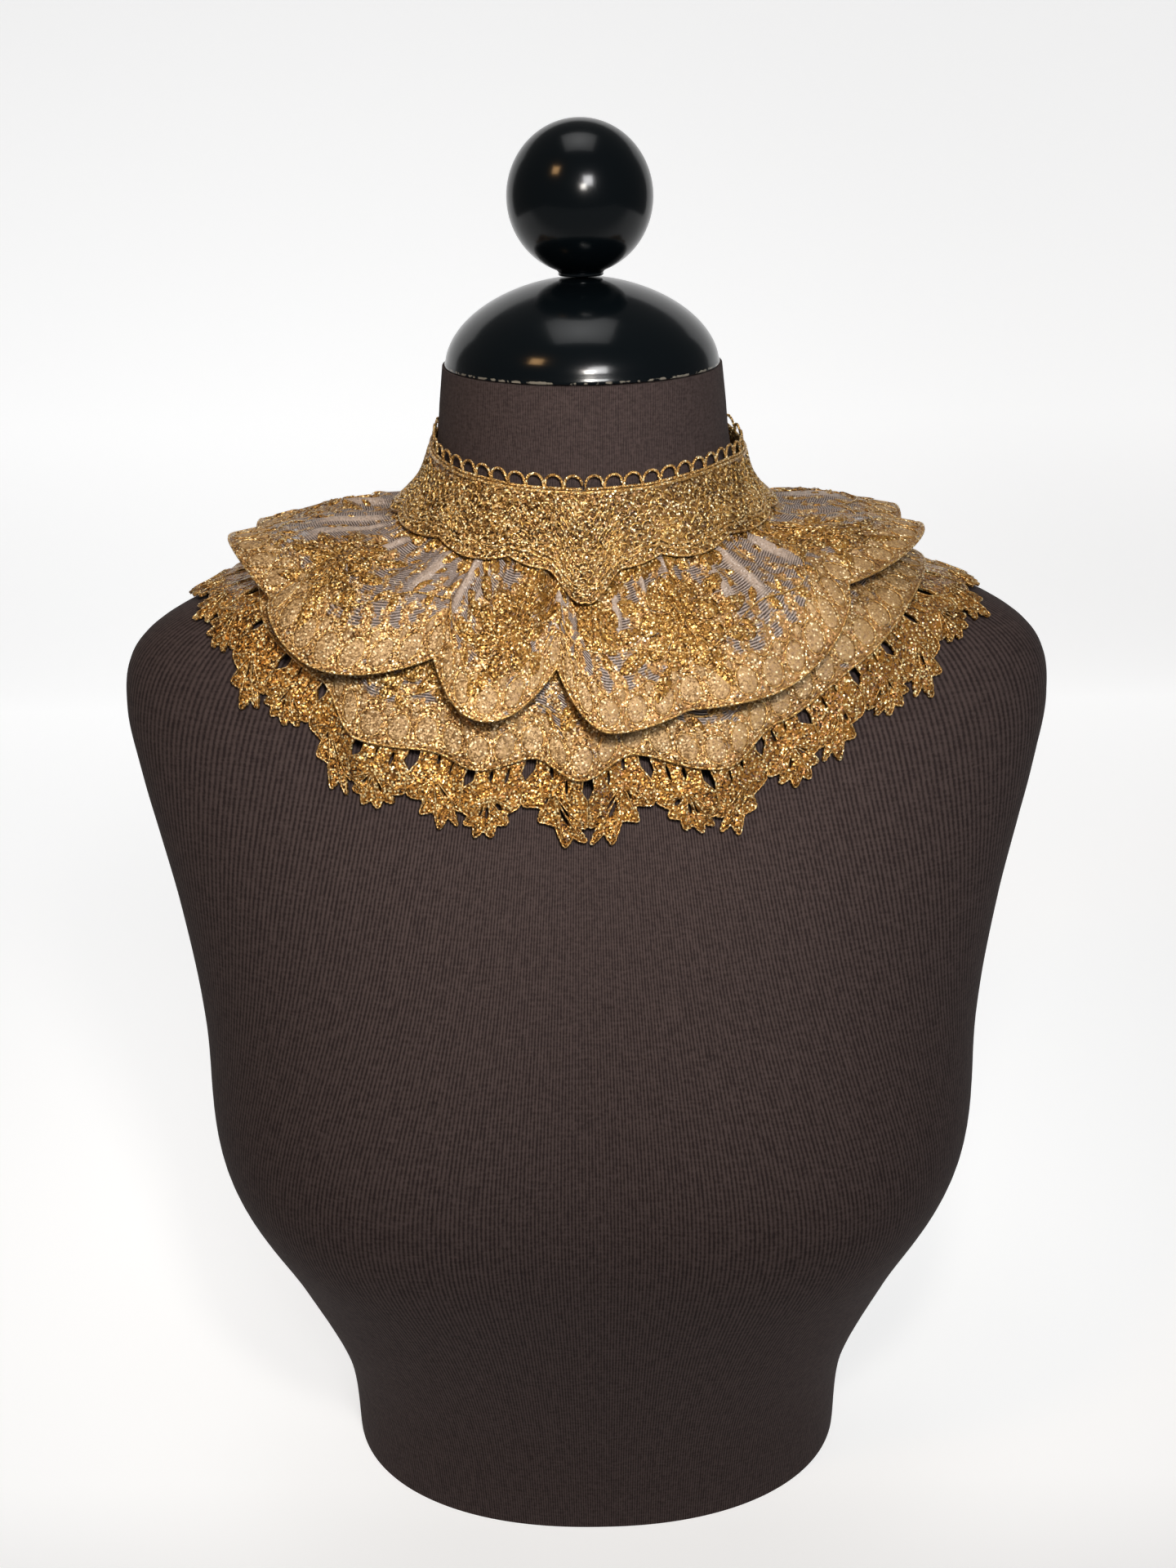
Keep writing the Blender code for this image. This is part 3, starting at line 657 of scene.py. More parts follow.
@dataclass
class FormShape:
    """The dress form's surface, and where points laid over it come."""

    rings: tuple[Ring, ...] = tuple(Ring(*row) for row in (
        (0, 115, 88, 76, 0.00, 2.20),
        (45, 119, 93, 82, 0.00, 2.20),
        (100, 140, 103, 93, 0.00, 2.25),
        (160, 163, 110, 102, 0.00, 2.30),
        (220, 169, 105, 108, 0.00, 2.35),
        (275, 178, 93, 110, 0.00, 2.45),
        (325, 189, 80, 104, 0.00, 2.45),
        (357, 194, 73, 97, 0.00, 2.35),
        (380, 189, 68, 90, 0.02, 2.20),
        (396, 169, 64, 83, 0.05, 2.10),
        (408, 134, 61, 77, 0.08, 2.00),
        (419, 101, 58.5, 72, 0.11, 2.00),
        (431, 76, 56.5, 66, 0.13, 2.00),
        (444, 64, 56, 61, 0.14, 2.00),
        (461, 59.5, 57.5, 57, 0.14, 2.00),
        (479, 57.5, 59.5, 54, 0.13, 2.00),
        (492, 56, 60, 52.5, 0.12, 2.00),
    ))
    foot_ring: int = 12
    bust_height: float = 168
    bust_spread: float = 62
    bust_angle: float = math.radians(38)
    bust_width: float = math.radians(30)
    bust_rise: float = 27
    angle_step: float = 0.5
    down_start: float = -62
    down_end: float = 145
    tables: Array = field(init=False)

    def __post_init__(self) -> None:
        """Works out the tables that over() reads."""
        self.tables = self.profile_tables()

    def ring_values(self, level: Array) -> Array:
        """The rings' columns at each level from 0 to 1, on a smooth curve through them."""
        table = np.array(self.rings, float)
        last = len(table) - 1
        place = np.clip(level, 0, 1) * last
        index = np.clip(place.astype(int), 0, last - 1)
        share = (place - index)[..., None]
        before = table[np.clip(index - 1, 0, last)]
        here = table[index]
        after = table[index + 1]
        beyond = table[np.clip(index + 2, 0, last)]
        bend = 2 * before - 5 * here + 4 * after - beyond
        twist = 3 * here - before - 3 * after + beyond
        return 0.5 * (2 * here + (after - before) * share + bend * share**2 + twist * share**3)

    def surface(self, angle: Array, level: Array) -> Array:
        """Points of the form: superellipse rings with two soft mounds at the bust.

        Args:
            angle: radians round the axis.
            level: 0 at the base to 1 at the rim.

        Returns:
            (..., 3) points.
        """
        height, half_width, front, back, slope, squareness = np.moveaxis(self.ring_values(level), -1, 0)
        depth = np.where(np.cos(angle) > 0, front, back)
        across = np.abs(np.sin(angle) / half_width) ** squareness
        along = np.abs(np.cos(angle) / depth) ** squareness
        radius = (across + along) ** (-1 / squareness)
        mounds = sum(
            np.exp(-(((wrapped(angle) - side * self.bust_angle) / self.bust_width) ** 2)) for side in (-1, 1)
        )
        swell = np.exp(-(((height - self.bust_height) / self.bust_spread) ** 2))
        radius = radius + self.bust_rise * mounds * swell
        y = -radius * np.cos(angle)
        return np.stack([radius * np.sin(angle), y, height + slope * y], -1)

    def profile_tables(self) -> Array:
        """Radius, height and the normal's two parts at each angle and distance down."""
        angles = np.radians(np.arange(-180, 180 + self.angle_step / 2, self.angle_step))
        downs = np.arange(self.down_start, self.down_end + 0.5)
        level = np.linspace(1, 0, 900)
        lines = self.surface(angles[:, None], np.broadcast_to(level, (len(angles), len(level))))
        radius = np.hypot(lines[..., 0], lines[..., 1])
        height = lines[..., 2]
        steps = np.hypot(np.diff(radius, axis=1), np.diff(height, axis=1))
        travel = np.concatenate([np.zeros((len(angles), 1)), np.cumsum(steps, axis=1)], axis=1)
        foot = 1 - self.foot_ring / (len(self.rings) - 1)
        tables = np.zeros((len(angles), len(downs), 4))
        for row in range(len(angles)):
            distance = travel[row] - np.interp(foot, 1 - level, travel[row])
            out = -np.gradient(height[row], distance)
            up = np.gradient(radius[row], distance)
            size = np.hypot(out, up)
            for column, values in enumerate((radius[row], height[row], out / size, up / size)):
                tables[row, :, column] = np.interp(downs, distance, values)
        return tables

    def over(self, angle: Array, down: Array, lift: Array) -> Array:
        """Points laid over the form, by linear steps between the tables' rows and columns.

        Args:
            angle: degrees round the neck.
            down: distances down the form.
            lift: distances off it.

        Returns:
            (..., 3) points.
        """
        angle, down, lift = np.broadcast_arrays(angle, down, lift)
        row = np.clip((angle + 180) / self.angle_step, 0, self.tables.shape[0] - 1.001)
        column = np.clip(down - self.down_start, 0, self.tables.shape[1] - 1.001)
        top, left = row.astype(int), column.astype(int)
        share_row = (row - top)[..., None]
        share_column = (column - left)[..., None]
        first, second = (
            self.tables[row, left] * (1 - share_column) + self.tables[row, left + 1] * share_column
            for row in (top, top + 1)
        )
        radius, height, out, up = np.moveaxis(first * (1 - share_row) + second * share_row, -1, 0)
        reach = radius + lift * out
        turn = np.radians(angle)
        return np.stack([reach * np.sin(turn), -reach * np.cos(turn), height + lift * up], -1)


def edge_at(table: Sequence[Edge], angle: Array) -> Array:
    """A distance from a table of edges, the same on both sides of the front."""
    return np.interp(np.abs(angle), [row.angle for row in table], [row.distance for row in table])


def wave_at(table: Sequence[Wave], angle: Array, sharp: bool) -> tuple[Array, Array]:
    """The edge's distance and rise at an angle.

    From a valley to a peak the share t of the way follows sin(πt/2) where valleys are
    sharp, or t²(3 - 2t) where they are round.

    Args:
        table: the edge's peaks and valleys in order of angle.
        angle: degrees round the neck.
        sharp: whether valleys are sharp.

    Returns:
        The distance and the rise.
    """
    angles = np.array([wave.angle for wave in table], float)
    index = np.clip(np.searchsorted(angles, angle, side="right") - 1, 0, len(table) - 2)
    share = np.clip((angle - angles[index]) / (angles[index + 1] - angles[index]), 0, 1)
    rises = np.array([wave.rise for wave in table], float)
    climbs = rises[index + 1] > rises[index]
    from_valley = np.where(climbs, share, 1 - share)
    bend = np.sin(0.5 * math.pi * from_valley) if sharp else smooth_step(from_valley)
    blend = np.where(climbs, bend, 1 - bend)
    distances = np.array([wave.distance for wave in table], float)
    distance = distances[index] + (distances[index + 1] - distances[index]) * blend
    return distance, rises[index] + (rises[index + 1] - rises[index]) * blend


@dataclass
class Drape:
    """How far each layer of cloth stands off the form."""

    form: FormShape
    band_top: tuple[Edge, ...] = tuple(Edge(*row) for row in (
        (0, -23.7), (25, -24.7), (50, -28), (70, -32.5), (90, -37),
        (120, -40), (180, -42),
    ))
    band_foot: tuple[Edge, ...] = (Edge(0, 3), Edge(40, 2), Edge(65, -2), Edge(90, -4), Edge(180, -3))
    band_points: int = 14
    band_point_depth: float = 4
    band_centre_point: float = 17
    band_centre_half_angle: float = 13
    band_thick: float = 1.5
    band_lift_at_top: float = 1.0
    slack_angle: float = 92
    slack_spread: float = 22
    slack_lift: float = 3.5
    slack_drop: float = 5
    band_over_ruffle: float = 0.7
    band_turn: float = -11
    back_opening: float = 0.5
    lower_edge: tuple[Wave, ...] = tuple(Wave(*row) for row in (
        (-180, 80, 2), (-163, 82, 4), (-147, 78, 0), (-130, 82, 4), (-114, 76, 0),
        (-100, 73, 3), (-88, 66, 0), (-76, 63, 3), (-66, 69, 1), (-58, 70, 0),
        (-49, 83, 5), (-37, 80, 1), (-27, 84, 4), (-14, 78, 0), (-2, 86, 5),
        (12, 77, 0), (32, 86, 5), (45, 75, 0), (58, 68, 3), (70, 67, 0),
        (81, 67, 1), (98, 68, 0), (113, 79, 4), (130, 78, 0), (147, 82, 4),
        (164, 79, 0), (180, 80, 2),
    ))
    lower_thick: float = 1.2
    lower_top: float = -2
    lower_lift_at_top: float = 1.0
    lower_full_lift: float = 4.9
    upper_edge: tuple[Wave, ...] = tuple(Wave(*row) for row in (
        (-180, 65, 2), (-165, 69, 7), (-150, 62, 0), (-136, 70, 8), (-121, 63, 0),
        (-109, 69, 7), (-97, 64, 1), (-82, 67, 9), (-68, 61, 0), (-57, 65, 8),
        (-38, 46, 0), (-23, 65, 9), (-8, 44, 0), (6, 68, 9), (24, 62, 4),
        (39, 63, 7), (62, 46, 0), (84, 61, 6), (97, 59, 0), (110, 66, 8),
        (122, 61, 0), (136, 69, 8), (150, 62, 0), (165, 68, 7), (180, 65, 2),
    ))
    upper_thick: float = 1.3
    upper_top: float = -9
    upper_stand_at_top: float = 1.0
    upper_stand_front: float = 3.5
    upper_stand_side: float = 6.5
    upper_stand_back: float = 13
    upper_rise_distance: float = 45
    gathers: int = 33
    gather_depth: float = 1.7
    gather_centre: float = 13
    gather_spread: float = 9
    leaf_thick: float = 1.2
    leaf_tip_lift: float = 1.7
    leaf_under_lower: float = 1.5

    def lower_lift(self, angle: Array, down: Array) -> Array:
        """The lower ruffle's inner lift."""
        reach, rise = wave_at(self.lower_edge, angle, sharp=False)
        full = self.lower_full_lift - self.lower_lift_at_top
        rising = rise * np.clip(down / reach, 0, 1) ** 2
        return self.lower_lift_at_top + full * smooth_step(down / 30) + rising

    def leaf_lift(self, angle: Array, down: Array) -> Array:
        """The leaf edging's inner lift: under the lower ruffle, then down onto the form."""
        under = self.lower_lift(angle, down) - self.leaf_thick - self.leaf_under_lower
        reach, _ = wave_at(self.lower_edge, angle, sharp=False)
        return under + (self.leaf_tip_lift - under) * smooth_step((down - reach - 3) / 20)

    def upper_envelope(self, angle: Array, down: Array) -> Array:
        """The upper ruffle's inner lift without its gathers."""
        side = np.sin(np.radians(angle)) ** 2
        ends = np.where(np.abs(angle) < 90, self.upper_stand_front, self.upper_stand_back)
        full = ends + (self.upper_stand_side - ends) * side
        spring = 1 - (1 - np.clip(down / self.upper_rise_distance, 0, 1)) ** 2
        stand = self.upper_stand_at_top + (full - self.upper_stand_at_top) * spring
        reach, rise = wave_at(self.upper_edge, angle, sharp=True)
        wave = rise * np.clip(down / reach, 0, 1.2) ** 1.3
        return self.lower_lift(angle, np.maximum(down, 0)) + self.lower_thick + stand + wave

    def upper_lift(self, angle: Array, down: Array) -> Array:
        """The upper ruffle's inner lift: the envelope, pressed in by the gathers."""
        ridge = 0.5 + 0.5 * np.cos(np.radians(angle) * self.gathers)
        where = np.exp(-(((down - self.gather_centre) / self.gather_spread) ** 2))
        return self.upper_envelope(angle, down) - self.gather_depth * ridge * where

    def band_slack(self, angle: Array) -> Array:
        """How loose the band hangs, from 0 where it hugs the neck to 1 at its loosest side."""
        return np.exp(-(((angle - self.slack_angle) / self.slack_spread) ** 2))

    def band_top_at(self, angle: Array) -> Array:
        """The band's upper edge, which drops where the band is loose."""
        return edge_at(self.band_top, angle) + self.slack_drop * self.band_slack(angle)

    def band_top_lift(self, angle: Array) -> Array:
        """The inner lift of the band's upper edge."""
        return self.band_lift_at_top + self.slack_lift * self.band_slack(angle)

    def band_lift(self, angle: Array, down: Array) -> Array:
        """The band's inner lift: near the neck at the top, over the ruffle at its foot."""
        top = self.band_top_at(angle)
        top_lift = self.band_top_lift(angle)
        gap = self.upper_thick + self.band_over_ruffle
        over = self.upper_envelope(angle, np.maximum(down, self.upper_top)) + gap
        turn = self.upper_envelope(angle, np.full_like(down, self.upper_top)) + gap
        share = np.clip((down - top) / (self.band_turn - top), 0, 1)
        rising = top_lift + (turn - top_lift) * share
        return np.where(down > self.band_turn, over, rising)

    def band_foot_at(self, angle: Array) -> Array:
        """The band's lower edge: small points all round, and a long one at the front."""
        small = np.abs(np.sin(np.radians(angle) * self.band_points / 2)) ** 0.8
        centre = np.clip(1 - np.abs(angle) / self.band_centre_half_angle, 0, 1)
        points = self.band_point_depth * small + self.band_centre_point * smooth_step(centre)
        return edge_at(self.band_foot, angle) + points


@dataclass
class Cloth:
    """A piece of cloth over the form, and the flat pattern that is stitched on it.

    A pattern place is (along, up): millimetres along the edge from the centre front, and
    millimetres up the cloth from its edge.
    """

    drape: Drape
    top: Callable[[Array], Array]
    edge: Callable[[Array], Array]
    lift: Callable[[Array, Array], Array]
    measured_share: float = 0.85
    lengths: Array = field(init=False)
    angles: Array = field(init=False)

    def __post_init__(self) -> None:
        """Measures the run along the cloth at each angle, from the centre front."""
        limit = 180 - self.drape.back_opening
        self.angles = np.linspace(-limit, limit, 2401)
        top, edge = self.top(self.angles), self.edge(self.angles)
        down = top + (edge - top) * self.measured_share
        line = self.drape.form.over(self.angles, down, self.lift(self.angles, down))
        steps = np.linalg.norm(np.diff(line, axis=0), axis=1)
        run = np.concatenate([[0], np.cumsum(steps)])
        self.lengths = run - np.interp(0, self.angles, run)

    def at(self, along: Array, up: Array, height: Array | float = 0.0) -> Array:
        """Points of the pattern in space, raised off the cloth's middle by height."""
        angle = np.interp(along, self.lengths, self.angles)
        down = self.edge(angle) - up
        return self.drape.form.over(angle, down, self.lift(angle, down) + height)

    def span(self) -> tuple[float, float]:
        """The lengths along the edge at its two ends."""
        return float(self.lengths[0]), float(self.lengths[-1])

    def sheet(self, name: str, columns: int, rows: int, thick: float) -> tuple[Piece, Array, Array]:
        """A closed thin shell along the cloth.

        Args:
            name: the piece's name.
            columns: how many points round the neck.
            rows: how many points down the cloth.
            thick: the shell's thickness.

        Returns:
            The object, and (along, up) for each vertex.
        """
        limit = 180 - self.drape.back_opening
        angle, share = np.meshgrid(np.linspace(-limit, limit, columns), np.linspace(0, 1, rows))
        top, edge = self.top(angle), self.edge(angle)
        down = top + (edge - top) * share
        lift = self.lift(angle, down)
        outer = self.drape.form.over(angle, down, lift + thick / 2).reshape(-1, 3)
        inner = self.drape.form.over(angle, down, lift - thick / 2).reshape(-1, 3)
        made = add_mesh(name, np.concatenate([outer, inner]), shell_quads(rows, columns))
        along = np.interp(angle, self.angles, self.lengths).ravel()
        places = np.tile(pairs(along, (edge - down).ravel()), (2, 1))
        set_cloth_map(made, places)
        return made, places[:, 0], places[:, 1]


def outline_points(shape: Outline, spokes: int) -> Array:
    """A motif's outline, 1 long and 1 wide, from its base at (0, 0) to its tip at (0, 1).

    With θ once round, up is (1 - cos θ)/2. Across is sin θ / 2 for an oval, times
    sin(θ/2) for a petal that is wide near its tip, and |sin θ|^1.5 for a pointed leaf.

    Args:
        shape: the outline.
        spokes: how many points it has.

    Returns:
        (spokes, 2) places.
    """
    turn = whole_turn(spokes)
    up = 0.5 - 0.5 * np.cos(turn)
    swing = np.sin(turn)
    across = {
        Outline.OVAL: 0.5 * swing,
        Outline.PETAL: 0.62 * swing * np.abs(np.sin(turn / 2)) ** 0.9,
        Outline.LEAF: 0.5 * np.sign(swing) * np.abs(swing) ** 1.5,
    }[shape]
    return pairs(across, up)


@dataclass
class Motifs:
    """Many filled motifs of one outline, laid flat on the pattern.

    base holds each motif's base point, turn its lean from straight up in radians, and
    length and width its size in millimetres; a single number stands for all motifs.
    """

    shape: Outline
    base: Array
    turn: Array | float
    length: Array | float
    width: Array | float

    def __post_init__(self) -> None:
        """Gives each motif its own lean, length and width."""
        each = [np.broadcast_to(value, len(self.base)) for value in (self.turn, self.length, self.width)]
        self.turn, self.length, self.width = each

    def outline(self, grow: float = 0.0, spokes: int = 12) -> Array:
        """Each motif's outline on the pattern.

        Args:
            grow: how far it is moved outwards.
            spokes: how many points it has.

        Returns:
            (n, spokes, 2) places.
        """
        unit = outline_points(self.shape, spokes)
        across = unit[None, :, 0] * (self.width + 2 * grow)[:, None]
        up = (unit[None, :, 1] - 0.5) * (self.length + 2 * grow)[:, None] + 0.5 * self.length[:, None]
        return self.placed(across, up)

    def placed(self, across: Array, up: Array) -> Array:
        """Turns and moves points from the motifs' own axes to the pattern."""
        cosine, sine = np.cos(self.turn)[:, None], np.sin(self.turn)[:, None]
        along = self.base[:, :1] + across * cosine + up * sine
        return pairs(along, self.base[:, 1:] - across * sine + up * cosine)

    def spine(self, start: float, end: float, count: int) -> Array:
        """Points along each motif's middle from start to end, as shares of its length."""
        up = np.linspace(start, end, count)[None] * self.length[:, None]
        return self.placed(np.zeros_like(up), up)


class Place(NamedTuple):
    """Where stitching lies: a function from pattern places and heights to space."""

    at: Callable[[Array, Array, Array], Array]
    raised: float


def round_each(centres: Array, up: float, bearing: Array, distance: float) -> tuple[Array, Array]:
    """Where motifs stand round each of a row of centres, and how they lean.

    A base point is the centre and distance times (sin, cos) of its bearing.

    Args:
        centres: where the centres lie along the edge.
        up: how far up the cloth they lie.
        bearing: the motifs' bearings round one centre, in radians.
        distance: how far from the centre they stand.

    Returns:
        (n, 2) base points, and each motif's turn.
    """
    turn = np.tile(bearing, len(centres))
    middle = np.repeat(centres, len(bearing))
    return pairs(middle + distance * np.sin(turn), up + distance * np.cos(turn)), turn


def tube(line: Array, run: Array, up: Array, radius: float, closed: bool, sides: int) -> tuple[Array, Array]:
    """A tube round each line: at each point a ring of sides in the plane across its run.

    Args:
        line: (n, points, 3) lines.
        run: which way each line runs at each point.
        up: a way off the cloth at each point.
        radius: the tube's radius.
        closed: whether each line joins its own start.
        sides: how many sides the tube has.

    Returns:
        Points and quads, with the ends of an open tube drawn to a point.
    """
    run = run / np.maximum(np.linalg.norm(run, axis=-1, keepdims=True), 1e-9)
    side = np.cross(run, up)
    side /= np.maximum(np.linalg.norm(side, axis=-1, keepdims=True), 1e-9)
    normal = np.cross(side, run)
    turn = whole_turn(sides)
    size = np.full(line.shape[:2], float(radius))
    if not closed:
        size[:, 0] *= 0.15
        size[:, -1] *= 0.15
    ring = side[:, :, None] * np.cos(turn)[:, None] + normal[:, :, None] * np.sin(turn)[:, None]
    points = line[:, :, None] + ring * size[:, :, None, None]
    count, steps = line.shape[:2]
    quads = grid_quads(steps + closed, sides, closed=True) % (steps * sides)
    starts = (np.arange(count) * steps * sides)[:, None, None]
    return points.reshape(-1, 3), (quads + starts).reshape(-1, 4)


@dataclass
class Stitching:
    """Fills and cords of one thread, laid where its place says and gathered into one mesh."""

    name: str
    place: Place | None = None
    points: list[Array] = field(default_factory=list)
    quads: list[Array] = field(default_factory=list)
    triangles: list[Array] = field(default_factory=list)
    count: int = 0

    def add(self, points: Array, quads: Array, triangles: Array | None = None) -> None:
        """Takes in one more part."""
        self.quads.append(quads + self.count)
        if triangles is not None:
            self.triangles.append(triangles + self.count)
        self.points.append(points)
        self.count += len(points)

    def fill(self, motifs: Motifs, height: float, spokes: int = 12) -> None:
        """Takes in domed satin stitch over each motif: rings that shrink to a high middle.

        At a share s of the way from the middle to the outline the fill stands
        height (1 - s²) over the cloth, and a ring below the cloth closes it.

        Args:
            motifs: the motifs to fill.
            height: how high the middle stands.
            spokes: how many points a ring has.
        """
        shares = np.array([1.0, 1.0, 0.86, 0.6, 0.3])
        heights = height * (1 - shares**2)
        heights[0] = -0.35
        outline = motifs.outline(spokes=spokes)
        middle = motifs.placed(np.zeros((len(motifs.turn), 1)), 0.5 * motifs.length[:, None])
        rings = middle[:, None] + (outline[:, None] - middle[:, None]) * shares[None, :, None, None]
        levels = np.broadcast_to(heights[None, :, None], rings.shape[:3])
        points = self.place.at(rings[..., 0], rings[..., 1], levels + self.place.raised)
        tips = np.full(middle.shape[:2], height + self.place.raised)
        tops = self.place.at(middle[..., 0], middle[..., 1], tips)
        count = len(shares) * spokes + 1
        points = np.concatenate([points.reshape(len(motifs.turn), -1, 3), tops], axis=1)
        first = grid_quads(len(shares), spokes, closed=True)[:, ::-1]
        ring = (len(shares) - 1) * spokes + np.arange(spokes)
        cap = np.stack([ring, np.roll(ring, -1), np.full(spokes, count - 1)], -1)
        starts = (np.arange(len(motifs.turn)) * count)[:, None, None]
        quads, triangles = (first + starts).reshape(-1, 4), (cap + starts).reshape(-1, 3)
        self.add(points.reshape(-1, 3), quads, triangles)

    def cords(
        self, paths: Array, radius: float, closed: bool = False, sides: int = 5, height: float = 0.0
    ) -> None:
        """Takes in round cords along pattern paths, all with the same number of points.

        Args:
            paths: (n, points, 2) places on the pattern.
            radius: the cord's radius.
            closed: whether each path joins its own start.
            sides: how many sides the cord has.
            height: how high its axis lies over the cloth.
        """
        lift = np.full(paths.shape[:2], self.place.raised + height)
        line = self.place.at(paths[..., 0], paths[..., 1], lift)
        over = self.place.at(paths[..., 0], paths[..., 1], lift + 1.0)
        if closed:
            run = np.roll(line, -1, axis=1) - np.roll(line, 1, axis=1)
        else:
            run = np.gradient(line, axis=1)
        self.add(*tube(line, run, over - line, radius, closed, sides))

    def make(self) -> Piece:
        """Builds the mesh."""
        triangles = np.concatenate(self.triangles) if self.triangles else None
        return add_mesh(self.name, np.concatenate(self.points), np.concatenate(self.quads), triangles)


@dataclass
class DressForm:
    """The jersey-covered torso."""

    form: FormShape
    columns: int = 216
    rows: int = 170
    girth_radius: float = 150
    sharp_angle: float = math.radians(50)

    def build(self) -> Piece:
        """The form's skin as rings from the rim down, closed by the base and the neck.

        The jersey's ribs are spaced on a circle of the girth's radius.

        Returns:
            The torso.
        """
        angle, level = np.meshgrid(whole_turn(self.columns), np.linspace(1, 0, self.rows))
        skin = self.form.surface(angle, level).reshape(-1, 3)
        top, base = skin[: self.columns].mean(0), skin[-self.columns :].mean(0)
        quads = grid_quads(self.rows, self.columns, closed=True)
        points = np.concatenate([skin, [top, base]])
        made = add_mesh("jersey_torso", points, quads, fans(self.rows, self.columns))
        places = pairs(wrapped(angle).ravel() * self.girth_radius, skin[:, 2])
        set_cloth_map(made, np.concatenate([places, [[0, top[2]], [0, base[2]]]]))
        made.data.set_sharp_from_angle(angle=self.sharp_angle)
        return dress(made, JERSEY.make(), Slot.JERSEY, "dress_form")


@dataclass
class CapAndBall:
    """The lacquered dome that closes the neck, and the ball on it."""

    rim: Ring
    centre_y: float = -3.7
    radius: float = 54.5
    height: float = 33
    fullness: float = 1.85
    ball_radius: float = 28.2
    ball_foot_radius: float = 9.5
    ball_foot_drop: float = 2
    seam: float = 0.3
    segments: int = 128
    sharp_angle: float = math.radians(50)

    def axis(self) -> tuple[Array, Array]:
        """The seat's centre and the tilted axis."""
        tilt = math.atan(self.rim.slope)
        up = np.array([0, -math.sin(tilt), math.cos(tilt)])
        seat = np.array([0, self.centre_y, self.rim.height + self.rim.slope * self.centre_y])
        return seat + self.seam * up, up

    def turned(self, name: str, profile: Array, foot: Array, wear: Array) -> Piece:
        """Spins a profile round the tilted axis.

        Args:
            name: the piece's name.
            profile: (radius, height) pairs from the top down; both ends lie on the axis.
            foot: where height 0 lies on the axis.
            wear: how worn each pair of the profile is.

        Returns:
            The turned piece.
        """
        _, up = self.axis()
        ahead = np.cross(up, [1.0, 0, 0])
        turn = whole_turn(self.segments)
        ring = np.cos(turn)[:, None] * np.array([1.0, 0, 0]) + np.sin(turn)[:, None] * ahead
        middle = profile[1:-1]
        points = foot + middle[:, 1, None, None] * up + middle[:, 0, None, None] * ring[None]
        points = np.concatenate([points.reshape(-1, 3), foot + profile[[0, -1], 1, None] * up])
        quads = grid_quads(len(middle), self.segments, closed=True)
        made = add_mesh(name, points, quads, fans(len(middle), self.segments))
        set_values(made, "wear", np.concatenate([np.repeat(wear[1:-1], self.segments), wear[[0, -1]]]))
        made.data.set_sharp_from_angle(angle=self.sharp_angle)
        return made

    def build(self) -> list[Piece]:
        """The dome, a superellipse over a rounded rim, and the ball on its foot.

        Returns:
            The dome and the ball.
        """
        lacquer = LACQUER.make()
        seat, up = self.axis()
        share = np.concatenate([[1.0], np.linspace(0.995, 0.03, 44) ** 0.9])
        rise = np.sin(share * math.pi / 2)
        radius = np.clip(1 - rise**self.fullness, 0, 1) ** (1 / self.fullness)
        dome = np.stack([self.radius * radius, self.height * rise], -1)
        dome[0, 0] = 0
        rim = np.array([[0, 1.6], [0.25, 1.0], [0.2, 0.3], [-0.4, 0]]) + [self.radius, 0]
        dome = np.concatenate([dome, rim, [[0, 0]]])
        wear = np.concatenate([np.zeros(len(share)), [0.35, 1, 1, 0.6, 0]])
        cap = dress(self.turned("lacquered_dome", dome, seat, wear), lacquer, Slot.LACQUER, "neck_cap")
        start = math.asin(self.ball_foot_radius / self.ball_radius)
        turn = np.linspace(math.pi, start, 60)
        rise = self.ball_foot_drop + self.ball_radius * (math.cos(start) - np.cos(turn))
        ball = pairs(self.ball_radius * np.sin(turn), rise)
        ball[0, 0] = 0
        neck = np.array([[-0.7, 1.2], [-0.6, 0.4], [-1, 0]]) + [self.ball_foot_radius, 0]
        ball = np.concatenate([ball, neck, [[0, 0]]])
        foot = seat + (self.height + self.seam) * up
        knob = self.turned("lacquered_ball", ball, foot, np.zeros(len(ball)))
        return [cap, dress(knob, lacquer, Slot.LACQUER, "ball_finial")]


